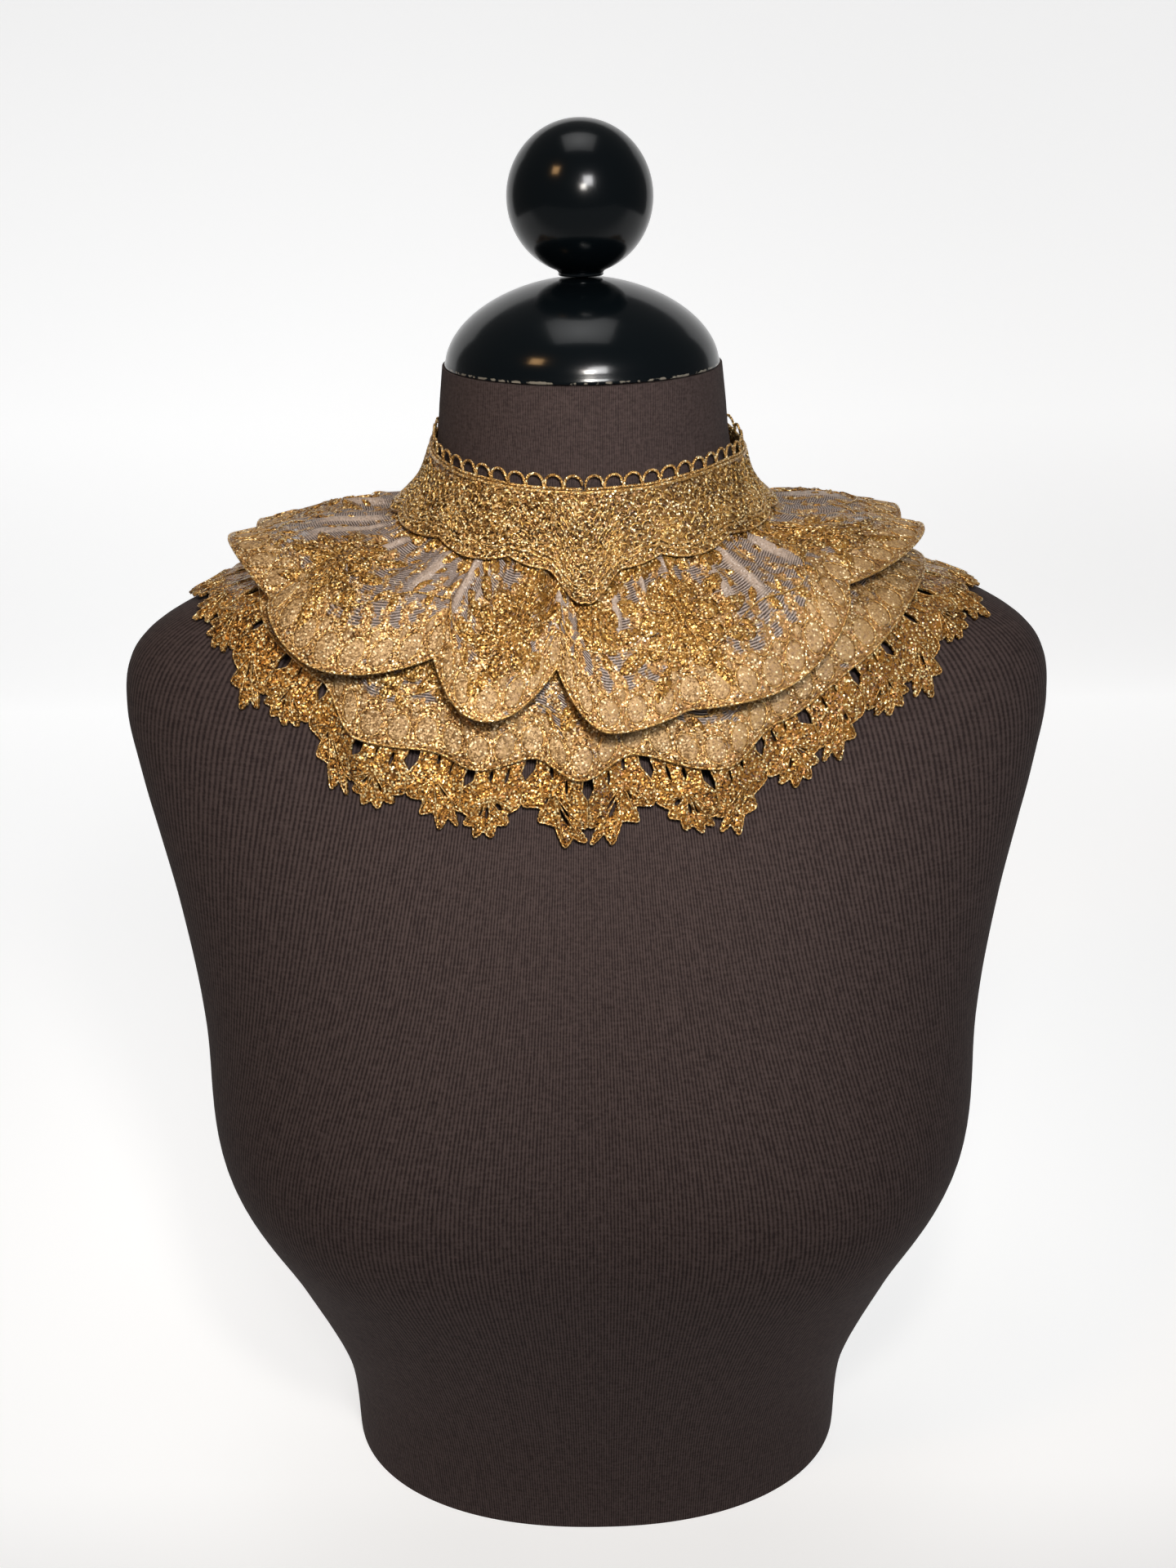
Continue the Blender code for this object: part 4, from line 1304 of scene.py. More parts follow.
@dataclass
class Neckband:
    """The dense stand-up band, its raised chain stitch, flowers and corded edges.

    A petal is its length, its width and how high it stands; a heart is its size and height.
    """

    drape: Drape
    grid: tuple[int, int] = (520, 38)
    shell: float = 1.1
    lump_pitch: float = 3.4
    lump_height: float = 0.28
    loop_pitch: float = 4.4
    loop_row: float = 3.3
    loop_rows: int = 16
    loop_sizes: tuple[float, float] = (1.5, 2.3)
    loop_thread: float = 0.5
    flower_pitch: float = 23.5
    flower_up: float = 11.5
    petals: int = 6
    petal: tuple[float, float, float] = (4.6, 3.4, 0.9)
    heart: tuple[float, float] = (2.4, 1.3)
    swag_up: float = 6.2
    swag_depth: float = 2.6

    def cloth(self) -> Cloth:
        """The band as a cloth with its pattern."""
        drape = self.drape
        return Cloth(
            drape,
            drape.band_top_at,
            drape.band_foot_at,
            lambda angle, down: drape.band_lift(angle, down) + drape.band_thick / 2,
            measured_share=0.5,
        )

    def build(self) -> list[Piece]:
        """The band's shell and its stitching.

        Returns:
            The shell, the chain stitch and the flowers.
        """
        cloth = self.cloth()
        shell, along, up = cloth.sheet("neckband_ground", *self.grid, self.shell)
        self.emboss(shell, along, up)
        dress(shell, BAND_THREAD.make(), Slot.BAND, "neckband")
        place = Place(cloth.at, self.shell / 2)
        chain = Stitching("neckband_chain_stitch", place)
        self.chain(chain, cloth)
        flowers = Stitching("neckband_flowers", place)
        self.flowers(flowers, cloth)
        self.borders(flowers, cloth)
        made = [
            dress(chain.make(), CHAIN_THREAD.make(), Slot.BAND),
            dress(flowers.make(), CORD_THREAD.make(), Slot.BAND),
        ]
        return [shell, *made]

    def emboss(self, shell: Piece, along: Array, up: Array) -> None:
        """Pushes the outer points out by small lumps, the crossings of the thread.

        Args:
            shell: the band's shell, whose outer points come first.
            along: each point's place along the edge.
            up: each point's place up the cloth.
        """
        mesh = shell.data
        points = np.zeros(len(mesh.vertices) * 3, np.float32)
        mesh.vertices.foreach_get("co", points)
        points = points.reshape(-1, 3)
        half = len(points) // 2
        lumps = ripple(pairs(along[:half], up[:half]), self.lump_pitch, seed=5, waves=14)
        out = points[:half] - points[half:]
        out /= np.linalg.norm(out, axis=1, keepdims=True)
        points[:half] += out * (self.lump_height * MM * lumps)[:, None]
        mesh.vertices.foreach_set("co", points.ravel())
        mesh.update()

    def chain(self, stitching: Stitching, cloth: Cloth) -> None:
        """Rows of overlapping loops, each row half a loop along from the last.

        A loop is a bit more than half a circle, flattened to 0.95 of its height and leaning.

        Args:
            stitching: what takes the loops in.
            cloth: the band.
        """
        start, end = cloth.span()
        source = np.random.default_rng(11)
        turn = np.linspace(-0.15 * math.pi, 1.15 * math.pi, 11)
        for row in range(self.loop_rows):
            centre = np.arange(start + 3, end - 3, self.loop_pitch) + (row % 2) * self.loop_pitch / 2
            up = np.full(len(centre), 1.8 + row * self.loop_row) + source.uniform(-0.5, 0.5, len(centre))
            angle = np.interp(centre, cloth.lengths, cloth.angles)
            room = cloth.edge(angle) - cloth.top(angle)
            keep = up < room - 3.2
            centre, up = centre[keep] + source.uniform(-0.5, 0.5, keep.sum()), up[keep]
            size = source.uniform(*self.loop_sizes, len(centre))
            lean = source.uniform(-0.5, 0.5, len(centre))[:, None]
            across = np.cos(turn)[None] * size[:, None]
            rise = np.sin(turn)[None] * size[:, None] * 0.95
            paths = pairs(
                centre[:, None] + across * np.cos(lean) - rise * np.sin(lean),
                up[:, None] + across * np.sin(lean) + rise * np.cos(lean),
            )
            if len(centre):
                stitching.cords(paths, self.loop_thread, sides=4, height=0.3)

    def flowers(self, stitching: Stitching, cloth: Cloth) -> None:
        """A row of small six-petalled flowers along the band's lower half, over two swags.

        Args:
            stitching: what takes them in.
            cloth: the band.
        """
        start, end = cloth.span()
        count = int((end - start) / self.flower_pitch)
        centres = (np.arange(count) + 0.5) * (end - start) / count + start
        base, turn = round_each(centres, self.flower_up, whole_turn(self.petals), 1.1)
        length, width, height = self.petal
        petals = Motifs(Outline.PETAL, base, turn, length, width)
        stitching.fill(petals, height)
        size, height = self.heart
        hearts = Motifs(Outline.OVAL, pairs(centres, self.flower_up - size / 2), 0.0, size, size)
        stitching.fill(hearts, height, spokes=10)
        swing = np.linspace(0, math.pi, 17)
        gap = (end - start) / count
        along = centres[:, None] + (swing / math.pi - 0.5)[None] * gap
        swag = pairs(along, self.swag_up - self.swag_depth * np.sin(swing))
        stitching.cords(swag, 0.6, height=0.5)
        stitching.cords(swag + np.array([0, 2.0]), 0.45, height=0.5)

    def borders(self, stitching: Stitching, cloth: Cloth) -> None:
        """A cord along the lower edge, and a thicker one along the top.

        Args:
            stitching: what takes them in.
            cloth: the band.
        """
        start, end = cloth.span()
        along = np.linspace(start + 0.4, end - 0.4, 900)
        angle = np.interp(along, cloth.lengths, cloth.angles)
        upper = pairs(along, cloth.edge(angle) - cloth.top(angle) - 0.6)
        stitching.cords(upper[None], 0.7, sides=6, height=0.1)
        stitching.cords(pairs(along, 0.4)[None], 0.45)


@dataclass
class LoopEdging:
    """The row of twisted thread loops that stands on the band."""

    drape: Drape
    loops: int = 25
    height: float = 6.3
    seam: float = 0.3
    thread: float = 0.36
    ply: float = 0.3
    pillar: float = 0.1

    def path(self, side: int, steps: int) -> tuple[Array, Array]:
        """The line of one half: each loop rises up its own left foot, over a half ellipse and down.

        Args:
            side: -1 for the left half, 1 for the right.
            steps: how many points a loop has.

        Returns:
            The angles, and the distances up from the foot.
        """
        span = 180 - self.drape.back_opening
        pitch = (span - 0.2) / self.loops
        share = (np.arange(self.loops * steps) % steps) / steps
        loop = np.arange(self.loops * steps) // steps
        turn = np.pi * share
        across = 0.5 - (0.5 - self.pillar * 0.5) * np.cos(turn) * (1 - 0.12 * np.sin(turn) ** 4)
        up = (self.height - 1.0) * np.sin(turn) ** 0.55
        start = -span if side < 0 else 0.2
        return start + (loop + across) * pitch, up

    def point(self, angle: Array, up: Array, height: Array) -> Array:
        """A point of the edging."""
        foot = self.drape.band_top_at(angle) - self.seam
        lift = self.drape.band_top_lift(angle) + 0.7 + height
        return self.drape.form.over(angle, foot - up, lift)

    def build(self) -> list[Piece]:
        """Each half as two strands twisted round each other, over a twisted foot cord.

        Returns:
            The two halves.
        """
        made = []
        material = CORD_THREAD.make()
        for side, name in ((-1, "left"), (1, "right")):
            stitching = Stitching(f"twisted_loops_{name}")
            angle, up = self.path(side, 26)
            self.twist(stitching, angle, up, turns=self.loops * 7.0)
            ends = np.linspace(angle.min(), angle.max(), 500)
            self.twist(stitching, ends, np.full(500, 0.35), turns=110.0)
            made.append(dress(stitching.make(), material, Slot.BAND, f"loop_edging_{name}"))
        return made

    def twist(self, stitching: Stitching, angle: Array, up: Array, turns: float) -> None:
        """Two strands along a line, half a turn apart.

        Args:
            stitching: what takes them in.
            angle: the line's angles.
            up: its distances up from the foot.
            turns: how often the strands go round each other.
        """
        line = self.point(angle, up, np.zeros_like(up))
        out = self.point(angle, up, np.ones_like(up)) - line
        run = np.gradient(line, axis=0)
        run /= np.linalg.norm(run, axis=1, keepdims=True)
        side = np.cross(run, out)
        side /= np.linalg.norm(side, axis=1, keepdims=True)
        phase = np.linspace(0, turns * 2 * math.pi, len(line))[:, None]
        for start in (0, math.pi):
            strand = line + self.ply * (side * np.cos(phase + start) + out * np.sin(phase + start))
            along = np.gradient(strand, axis=0)
            stitching.add(*tube(strand[None], along[None], out[None], self.thread, False, 5))


class Layer(Enum):
    """The two ruffles."""

    LOWER = "lower_ruffle"
    UPPER = "upper_ruffle"


class PetalRing(NamedTuple):
    """One ring of a large flower: its petals, how far out they start, and their size."""

    petals: int
    inner: float
    length: float
    width: float
    height: float
    offset: float


@dataclass
class Ruffle:
    """A gathered ruffle of embroidered tulle.

    A motif is its length, its width and how high its stitching stands; a heart is its size
    and height, and a row of buds how far up it lies and its step.
    """

    drape: Drape
    layer: Layer
    columns: int
    rows: int
    flat: tuple[float, float]
    flower_up: float
    flower_size: float = 21
    shell: float = 0.5
    medallion_pitch: float = 10.4
    flower_step: float = 45.0
    first_flower: float = -19.0
    last_angle: float = 175
    creases: tuple[Crease, ...] = ()
    pleat_pitch: float = 3.6
    pleat_depth: float = 0.55
    petal_rings: tuple[PetalRing, ...] = (
        PetalRing(9, 6.5, 12.0, 8.4, 0.6, 0.0),
        PetalRing(7, 2.4, 7.5, 5.8, 1.0, 0.3),
    )
    heart: tuple[float, float] = (5.2, 1.8)
    leaf: tuple[float, float, float] = (14.0, 6.5, 0.8)
    leaf_out: float = 17
    leaf_bearings: tuple[float, ...] = (-112, -88, -62, 62, 88, 112, 150, -150)
    oval: tuple[float, float, float] = (10.0, 7.6, 0.35)
    oval_up: float = 2.6
    spindle: tuple[float, float, float] = (5.6, 3.2, 0.7)
    scallop_up: float = 15.2
    vine_leaf: tuple[float, float, float] = (7.5, 3.6, 0.7)
    vine_leaf_step: float = 7.6
    bud: tuple[float, float, float] = (4.2, 3.2, 0.6)
    bud_rows: tuple[tuple[float, float], ...] = ((38, 12.5), (47, 15.0))

    @property
    def is_upper(self) -> bool:
        """Whether this is the upper ruffle."""
        return self.layer is Layer.UPPER

    def folds(self, angle: Array, down: Array) -> tuple[Array, Array]:
        """Fine pleats, and the creases: each a bell curve across that fades at its ends.

        Args:
            angle: degrees round the neck.
            down: distances down the form.

        Returns:
            How far the cloth is pushed out, and where its net lies double.
        """
        angle, down = np.broadcast_arrays(angle, down)
        push = self.pleat_depth * ripple(angle[..., None], self.pleat_pitch, seed=3, waves=7)
        push = push * smooth_step((46 - down) / 40)
        double = np.zeros(angle.shape)
        for crease in self.creases:
            across = np.exp(-(((angle - crease.angle) / crease.width) ** 2))
            ends = smooth_step((down - crease.top) / 6)
            ends = ends * smooth_step((crease.top + crease.length - down) / 12)
            push = push + crease.depth * across * ends
            if crease.depth > 0:
                double = np.maximum(double, smooth_step(3.2 * across - 0.9) * ends)
        return push, double

    def lift(self, angle: Array, down: Array) -> Array:
        """The middle of the cloth: the solid's own form, with its creases and fine pleats."""
        drape = self.drape
        if self.is_upper:
            lift = drape.upper_lift(angle, down) + drape.upper_thick / 2
        else:
            lift = drape.lower_lift(angle, down) + drape.lower_thick / 2
        return lift + self.folds(angle, down)[0]

    def cloth(self) -> Cloth:
        """The ruffle as a cloth with its pattern."""
        drape = self.drape
        top = drape.upper_top if self.is_upper else drape.lower_top
        table = drape.upper_edge if self.is_upper else drape.lower_edge
        return Cloth(
            drape,
            lambda angle: np.full_like(angle, top),
            lambda angle: wave_at(table, angle, sharp=self.is_upper)[0],
            self.lift,
        )

    def centres(self, cloth: Cloth) -> Array:
        """Where the large flowers lie along the edge."""
        first = self.first_flower - 3 * self.flower_step
        angles = np.arange(first, self.last_angle, self.flower_step)
        return np.interp(angles, cloth.angles, cloth.lengths)

    def build(self) -> list[Piece]:
        """The tulle and everything stitched on it.

        Returns:
            The tulle, the flowers, the medallions and the cords.
        """
        name = self.layer.value
        cloth = self.cloth()
        tulle, along, up = cloth.sheet(f"{name}_tulle", self.columns, self.rows, self.shell)
        angle = np.interp(along, cloth.lengths, cloth.angles)
        doubled = self.folds(angle, cloth.edge(angle) - up)[1]
        set_values(tulle, "gold", self.gold(cloth, along, up) - 0.6 * doubled)
        set_values(tulle, "fold", doubled)
        dress(tulle, TULLE.make(), Slot.TULLE, name)
        place = Place(cloth.at, self.shell / 2)
        flowers = Stitching(f"{name}_flowers", place)
        self.flowers(flowers, cloth)
        medallions = Stitching(f"{name}_medallions", place)
        edging = Stitching(f"{name}_cords", place)
        self.border(medallions, edging, cloth)
        self.garland(flowers, edging, cloth)
        if self.is_upper:
            self.fringe(flowers, cloth)
        made = [
            dress(flowers.make(), AMBER_THREAD.make(), Slot.TULLE),
            dress(medallions.make(), SATIN_THREAD.make(), Slot.TULLE),
            dress(edging.make(), CORD_THREAD.make(), Slot.TULLE),
        ]
        return [tulle, *made]

    def gold(self, cloth: Cloth, along: Array, up: Array) -> Array:
        """How densely the tulle is stitched: the border, round each flower, and in blotches.

        Near a flower at distance r and bearing b, the stitched patch ends at
        r = size (1 + 0.12 cos 8b).

        Args:
            cloth: the ruffle's cloth.
            along: each point's place along the edge.
            up: each point's place up the cloth.

        Returns:
            The density, 1 where the tulle is covered.
        """
        ground = 0.41 + 0.12 * smooth_step((40 - up) / 22) + 0.3 * smooth_step((18 - up) / 3)
        patches = np.zeros_like(up)
        for centre in self.centres(cloth):
            across, rise = along - centre, up - self.flower_up
            bearing = np.arctan2(across, rise)
            size = 1.15 * self.flower_size * (1 + 0.12 * np.cos(8 * bearing))
            near = np.hypot(across * 0.85, rise)
            patches = np.maximum(patches, 0.66 * smooth_step((size - near) / 5))
        vines = 0.55 * np.exp(-(((up - self.vine(along)) / 3.0) ** 2))
        blotches = 0.2 * ripple(pairs(along, up), 9, seed=7 + self.is_upper, waves=12)
        angle = np.interp(along, cloth.lengths, cloth.angles)
        middle = 0.4 * np.exp(-(((angle - 2) / 6) ** 2)) * smooth_step((up - 28) / 8)
        return np.maximum(np.maximum(ground, patches), vines) + blotches + middle

    def vine(self, along: Array) -> Array:
        """How far up the cloth the vine between the flowers runs."""
        return 25 + 5 * np.sin(along * 2 * math.pi / 61)

    def flowers(self, stitching: Stitching, cloth: Cloth) -> None:
        """Large open flowers: two rings of petals, a heart, and leaves to each side.

        Args:
            stitching: what takes them in.
            cloth: the ruffle's cloth.
        """
        centres = self.centres(cloth)
        scale = self.flower_size / 21
        for ring in self.petal_rings:
            bearing = whole_turn(ring.petals) + ring.offset
            base, turn = round_each(centres, self.flower_up, bearing, ring.inner * scale)
            petals = Motifs(Outline.PETAL, base, turn, ring.length * scale, ring.width * scale)
            stitching.fill(petals, ring.height)
            stitching.cords(petals.outline(0.2, 20), 0.4, closed=True, height=0.25)
            stitching.cords(petals.spine(0.15, 0.8, 6), 0.35, height=ring.height)
        size, height = self.heart
        middle = pairs(centres, self.flower_up - size / 2 * scale)
        hearts = Motifs(Outline.OVAL, middle, 0.0, size * scale, size * scale)
        stitching.fill(hearts, height, spokes=16)
        length, width, height = self.leaf
        bearing = np.radians(self.leaf_bearings)
        base, turn = round_each(centres, self.flower_up, bearing, self.leaf_out * scale)
        leaves = Motifs(Outline.LEAF, base, turn, length * scale, width * scale)
        stitching.fill(leaves, height)
        stitching.cords(leaves.spine(0.05, 0.9, 7), 0.4, height=height)

    def border(self, medallions: Stitching, edging: Stitching, cloth: Cloth) -> None:
        """Oval medallions in corded frames, a scalloped line over them and the hem cord.

        Args:
            medallions: what takes the ovals and the spindles between them in.
            edging: what takes the cords in.
            cloth: the ruffle's cloth.
        """
        start, end = cloth.span()
        count = int((end - start - 4) / self.medallion_pitch)
        along = start + 2 + (np.arange(count) + 0.5) * (end - start - 4) / count
        length, width, height = self.oval
        base = pairs(along, self.oval_up)
        ovals = Motifs(Outline.OVAL, base, 0.0, length, width)
        medallions.fill(ovals, height, spokes=14)
        edging.cords(ovals.outline(0.5, 24), 0.36, closed=True, height=0.1)
        length, width, height = self.spindle
        gaps = Motifs(Outline.LEAF, base + np.array([self.medallion_pitch / 2, 8.6]), 0.0, length, width)
        medallions.fill(gaps, height)
        line = np.linspace(start + 0.6, end - 0.6, 1000)
        swing = np.cos((line - along[0]) * 2 * math.pi / self.medallion_pitch)
        edging.cords(pairs(line, 0.4)[None], 0.55, height=-0.1)
        scallop = pairs(line, self.scallop_up + 1.4 * swing)
        edging.cords(scallop[None], 0.4, height=0.2)

    def garland(self, flowers: Stitching, edging: Stitching, cloth: Cloth) -> None:
        """A vine between the flowers with small leaves, and buds above it.

        Args:
            flowers: what takes the leaves and buds in.
            edging: what takes the vine in.
            cloth: the ruffle's cloth.
        """
        start, end = cloth.span()
        line = np.linspace(start + 1, end - 1, 900)
        edging.cords(pairs(line, self.vine(line))[None], 0.45, height=0.25)
        along = np.arange(start + 4, end - 4, self.vine_leaf_step)
        turn = np.where(np.arange(len(along)) % 2 == 0, 0.55, math.pi - 0.55)
        length, width, height = self.vine_leaf
        leaves = Motifs(Outline.LEAF, pairs(along, self.vine(along)), turn, length, width)
        flowers.fill(leaves, height)
        rows = []
        for row, step in self.bud_rows:
            spots = np.arange(start + 5 + row / 5, end - 5, step)
            rows.append(pairs(spots, row + 2.5 * np.sin(spots)))
        base = np.concatenate(rows)
        length, width, height = self.bud
        buds = Motifs(Outline.PETAL, base, np.sin(base[:, 0]), length, width)
        flowers.fill(buds, height, spokes=10)

    def fringe(self, flowers: Stitching, cloth: Cloth) -> None:
        """Petals that hang from under the band, and a longer cluster below its point.

        Args:
            flowers: what takes them in.
            cloth: the ruffle's cloth.
        """
        source = np.random.default_rng(23)
        angle = np.linspace(-177, 177, 105) + source.uniform(-0.8, 0.8, 105)
        along = np.interp(angle, cloth.angles, cloth.lengths)
        foot = cloth.edge(angle) - self.drape.band_foot_at(angle)
        turn = math.pi + source.uniform(-0.35, 0.35, len(angle))
        length = source.uniform(5.0, 9.5, len(angle))
        width = source.uniform(6.0, 8.5, len(angle))
        petals = Motifs(Outline.PETAL, pairs(along, foot + 2.5), turn, length, width)
        flowers.fill(petals, 0.7)
        bearing = np.tile([-0.95, -0.5, -0.1, 0.3, 0.75], 3)
        step = np.repeat([0.0, 6.0, 12.0], 5)
        point = np.array([2.5])
        middle = np.interp(point, cloth.angles, cloth.lengths)
        top = cloth.edge(point) - self.drape.band_foot_at(point)
        base = pairs(middle + 5.0 * bearing, top + 1.5 - step - 1.5 * np.abs(bearing))
        leaves = Motifs(Outline.LEAF, base, math.pi - 0.8 * bearing, 11.0 - 0.2 * step, 6.2)
        flowers.fill(leaves, 0.8)
        flowers.cords(leaves.spine(0.1, 0.85, 6), 0.35, sides=4, height=0.8)


UPPER_CREASES = tuple(Crease(*row) for row in (
    (-168, 4, 40, -1.6, 2.2), (-155, 2, 34, 1.4, 1.6), (-143, 6, 34, 1.3, 2.0),
    (-128, 3, 46, -1.6, 2.4), (-117, 2, 30, 1.5, 1.5), (-103, 5, 38, 1.4, 2.0),
    (-90, 2, 44, -1.8, 2.2), (-82, 1, 36, 1.7, 1.6), (-76, 2, 40, 1.5, 1.5),
    (-69, 1, 36, -1.6, 1.6), (-62, 2, 42, 1.8, 1.5), (-54, 3, 30, -1.4, 1.6),
    (-46, 1, 32, 1.7, 1.4), (-41, 1, 28, -1.4, 1.2), (-36, 1, 33, 1.9, 1.2),
    (-31.5, 1, 30, 1.5, 1.0), (-27, 2, 22, -1.2, 1.3), (-14.5, 2, 33, 2.2, 1.2),
    (-11.3, 2, 36, -1.8, 1.0), (-8.3, 3, 34, 2.0, 1.1), (-3, 4, 30, -1.2, 1.6),
    (9, 8, 30, 1.7, 1.2), (13, 4, 28, -1.4, 1.4), (18, 1, 24, 1.8, 1.2),
    (26, 1, 16, 1.6, 1.3), (33, 2, 26, -1.5, 1.4), (39, 1, 32, 1.7, 1.4),
    (46, 1, 36, 1.7, 1.3), (52, 2, 32, -1.5, 1.6), (58, 2, 28, 1.5, 1.5),
    (71, 3, 40, 1.4, 1.7), (88, 4, 44, -1.7, 2.2), (104, 6, 36, 1.4, 2.0),
    (117, 2, 42, -1.6, 2.2), (131, 4, 38, 1.5, 1.8), (143, 2, 30, 1.3, 1.6),
    (156, 3, 44, -1.6, 2.3), (171, 5, 36, 1.3, 2.0),
))


class Leaf(NamedTuple):
    """How one kind of leaf is cut.

    Width is a share of a pair's width, tooth a share of a finger's length and point how
    much longer the middle finger is; gap, lean and longer are millimetres.
    """

    width: float
    gap: float
    lean: float
    longer: float
    teeth: int
    tooth: float
    point: float


def is_inside(points: Array, outline: Array) -> Array:
    """Which points lie inside an outline, by how many of its sides a ray crosses."""
    start, end = outline[None], np.roll(outline, -1, axis=0)[None]
    x, y = points[:, None, 0], points[:, None, 1]
    spans = (start[..., 1] > y) != (end[..., 1] > y)
    rise = np.where(end[..., 1] == start[..., 1], 1e-9, end[..., 1] - start[..., 1])
    crossing = start[..., 0] + (y - start[..., 1]) / rise * (end[..., 0] - start[..., 0])
    return (spans & (x < crossing)).sum(1) % 2 == 1


def to_segments(points: Array, start: Array, ends: Array) -> Array:
    """The distance from each point to the nearest of the lines from start to each end."""
    run = ends - start
    share = np.clip(((points[:, None] - start) * run).sum(-1) / (run * run).sum(-1), 0, 1)
    nearest = start + share[..., None] * run
    return np.linalg.norm(points[:, None] - nearest, axis=-1).min(1)


def resampled(outline: Array, count: int) -> Array:
    """A closed outline as evenly spaced points."""
    ring = np.concatenate([outline, outline[:1]])
    run = np.concatenate([[0], np.cumsum(np.linalg.norm(np.diff(ring, axis=0), axis=1))])
    place = np.linspace(0, run[-1], count, endpoint=False)
    return pairs(np.interp(place, run, ring[:, 0]), np.interp(place, run, ring[:, 1]))


@dataclass
class LeafCut:
    """One leaf's flat cut: where it lies along the edging, its outline, fingers and slits."""

    leaf: Leaf
    left: float
    width: float
    reach: float
    header: tuple[float, float]
    shoulder: float
    touch: tuple[float, float]
    number: int
    picot: float = 0.4

    @property
    def heart(self) -> Array:
        """Where the leaf's fingers meet."""
        return np.array([self.left + self.width / 2, self.touch[0] + 1.0])

    def rim(self) -> Array:
        """Tips and notches in turn, from the left touch to the right one."""
        top = self.touch[1]
        step = np.arange(1, 2 * self.leaf.teeth)
        turn = math.pi * (step / (2 * self.leaf.teeth) - 0.5)
        size = 1 + self.leaf.point * np.cos(turn) ** 4
        size = size * np.where(step % 2 == 1, 1.0, 1 - self.leaf.tooth)
        across = size * (self.width / 2) * np.sin(turn) + self.leaf.lean * np.cos(turn)
        down = top + size * (self.reach - top) * np.cos(turn) / (1 + self.leaf.point)
        inner = pairs(self.left + self.width / 2 + across, down)
        ends = np.array([[self.left, top], [self.left + self.width, top]])
        return np.concatenate([ends[:1], inner, ends[1:]])

    def outline(self) -> Array:
        """The whole cut edge: each side of a finger bulges and has three small picots.

        A share t of the way along a side stands out by 0.2 sin(πt) + picot |sin(3πt)|.
        """
        rim = self.rim()
        start, end = rim[:-1, None], rim[1:, None]
        share = np.linspace(0, 1, 13)[None, :-1, None]
        out = np.stack([end[..., 1] - start[..., 1], start[..., 0] - end[..., 0]], -1)
        out = out / np.linalg.norm(out, axis=-1, keepdims=True)
        facing = (out * ((start + end) / 2 - self.heart)).sum(-1, keepdims=True)
        bulge = 0.2 * np.sin(math.pi * share) + self.picot * np.abs(np.sin(3 * math.pi * share))
        fine = (start + (end - start) * share + np.sign(facing) * out * bulge).reshape(-1, 2)
        gap = self.leaf.gap * (0.6 + 0.4 * math.sin(2.7 * self.number))
        left, right = self.left - 0.1, self.left + self.width + 0.1
        root, foot = self.header
        before = [
            (left, root), (left, foot), (self.left + gap, foot),
            (self.left + gap + 0.5, self.shoulder), (left, self.touch[0]),
        ]
        after = [
            (right, self.touch[1]), (right, self.touch[0]),
            (self.left + self.width - gap - 0.5, self.shoulder),
            (self.left + self.width - gap, foot), (right, foot), (right, root),
        ]
        return np.concatenate([before, fine, after])

    def tips(self) -> Array:
        """The fingers' tips."""
        return self.rim()[1:-1:2]

    def slits(self) -> list[Array]:
        """Spindle-shaped cuts of uneven length between some fingers and beside the stem."""
        notches = self.rim()[2:-2:2]
        vary = np.sin(2.4 * np.arange(len(notches)) + 1.7 * self.number)
        notches, vary = notches[vary > -0.35], vary[vary > -0.35, None]
        starts = self.heart + (0.30 + 0.10 * vary) * (notches - self.heart)
        ends = self.heart + (0.66 + 0.12 * vary) * (notches - self.heart)
        sway = 0.8 * math.sin(3.1 * self.number)
        stem = np.array([[-3.0, 1.2 + sway, -3.6, 7.2], [3.0, 0.2 - sway, 2.2, 4.8 + sway]])
        middle = self.left + self.width / 2
        starts = np.concatenate([starts, stem[:, :2] + [middle, 0]])
        ends = np.concatenate([ends, stem[:, 2:] + [middle, 0]])
        half = 0.65 + 0.2 * np.sin(1.9 * np.arange(len(starts)) + self.number)
        turn = whole_turn(8)
        made = []
        for first, last, wide in zip(starts, ends, half):
            run = (last - first) / 2
            side = wide * np.array([-run[1], run[0]]) / np.linalg.norm(run)
            made.append((first + last) / 2 + np.outer(np.cos(turn), run) + np.outer(np.sin(turn), side))
        return made

    def triangles(self, spacing: float) -> tuple[Array, Array]:
        """The cut area in triangles, with the slits left open.

        Args:
            spacing: about how far apart the points lie.

        Returns:
            (n, 2) points and (m, 3) indices.
        """
        outline = self.outline()
        loops = [outline, *self.slits()]
        low, high = outline.min(0), outline.max(0)
        x, y = np.meshgrid(np.arange(low[0], high[0], spacing), np.arange(low[1], high[1], spacing))
        x = x + (np.arange(len(x)) % 2)[:, None] * spacing / 2
        grid = pairs(x.ravel(), y.ravel())
        grid = grid[is_inside(grid, outline)]
        corners = np.concatenate(loops)
        clear = np.linalg.norm(grid[:, None] - corners[None], axis=-1).min(1) > 0.45 * spacing
        points = np.concatenate([corners, grid[clear]])
        starts = np.cumsum([0] + [len(loop) for loop in loops])
        faces = [list(range(first, last)) for first, last in zip(starts[:-1], starts[1:])]
        found = delaunay_2d_cdt([Vector(point) for point in points], [], faces, 2, 1e-5)
        return np.array([tuple(place) for place in found[0]]), np.array(found[2])


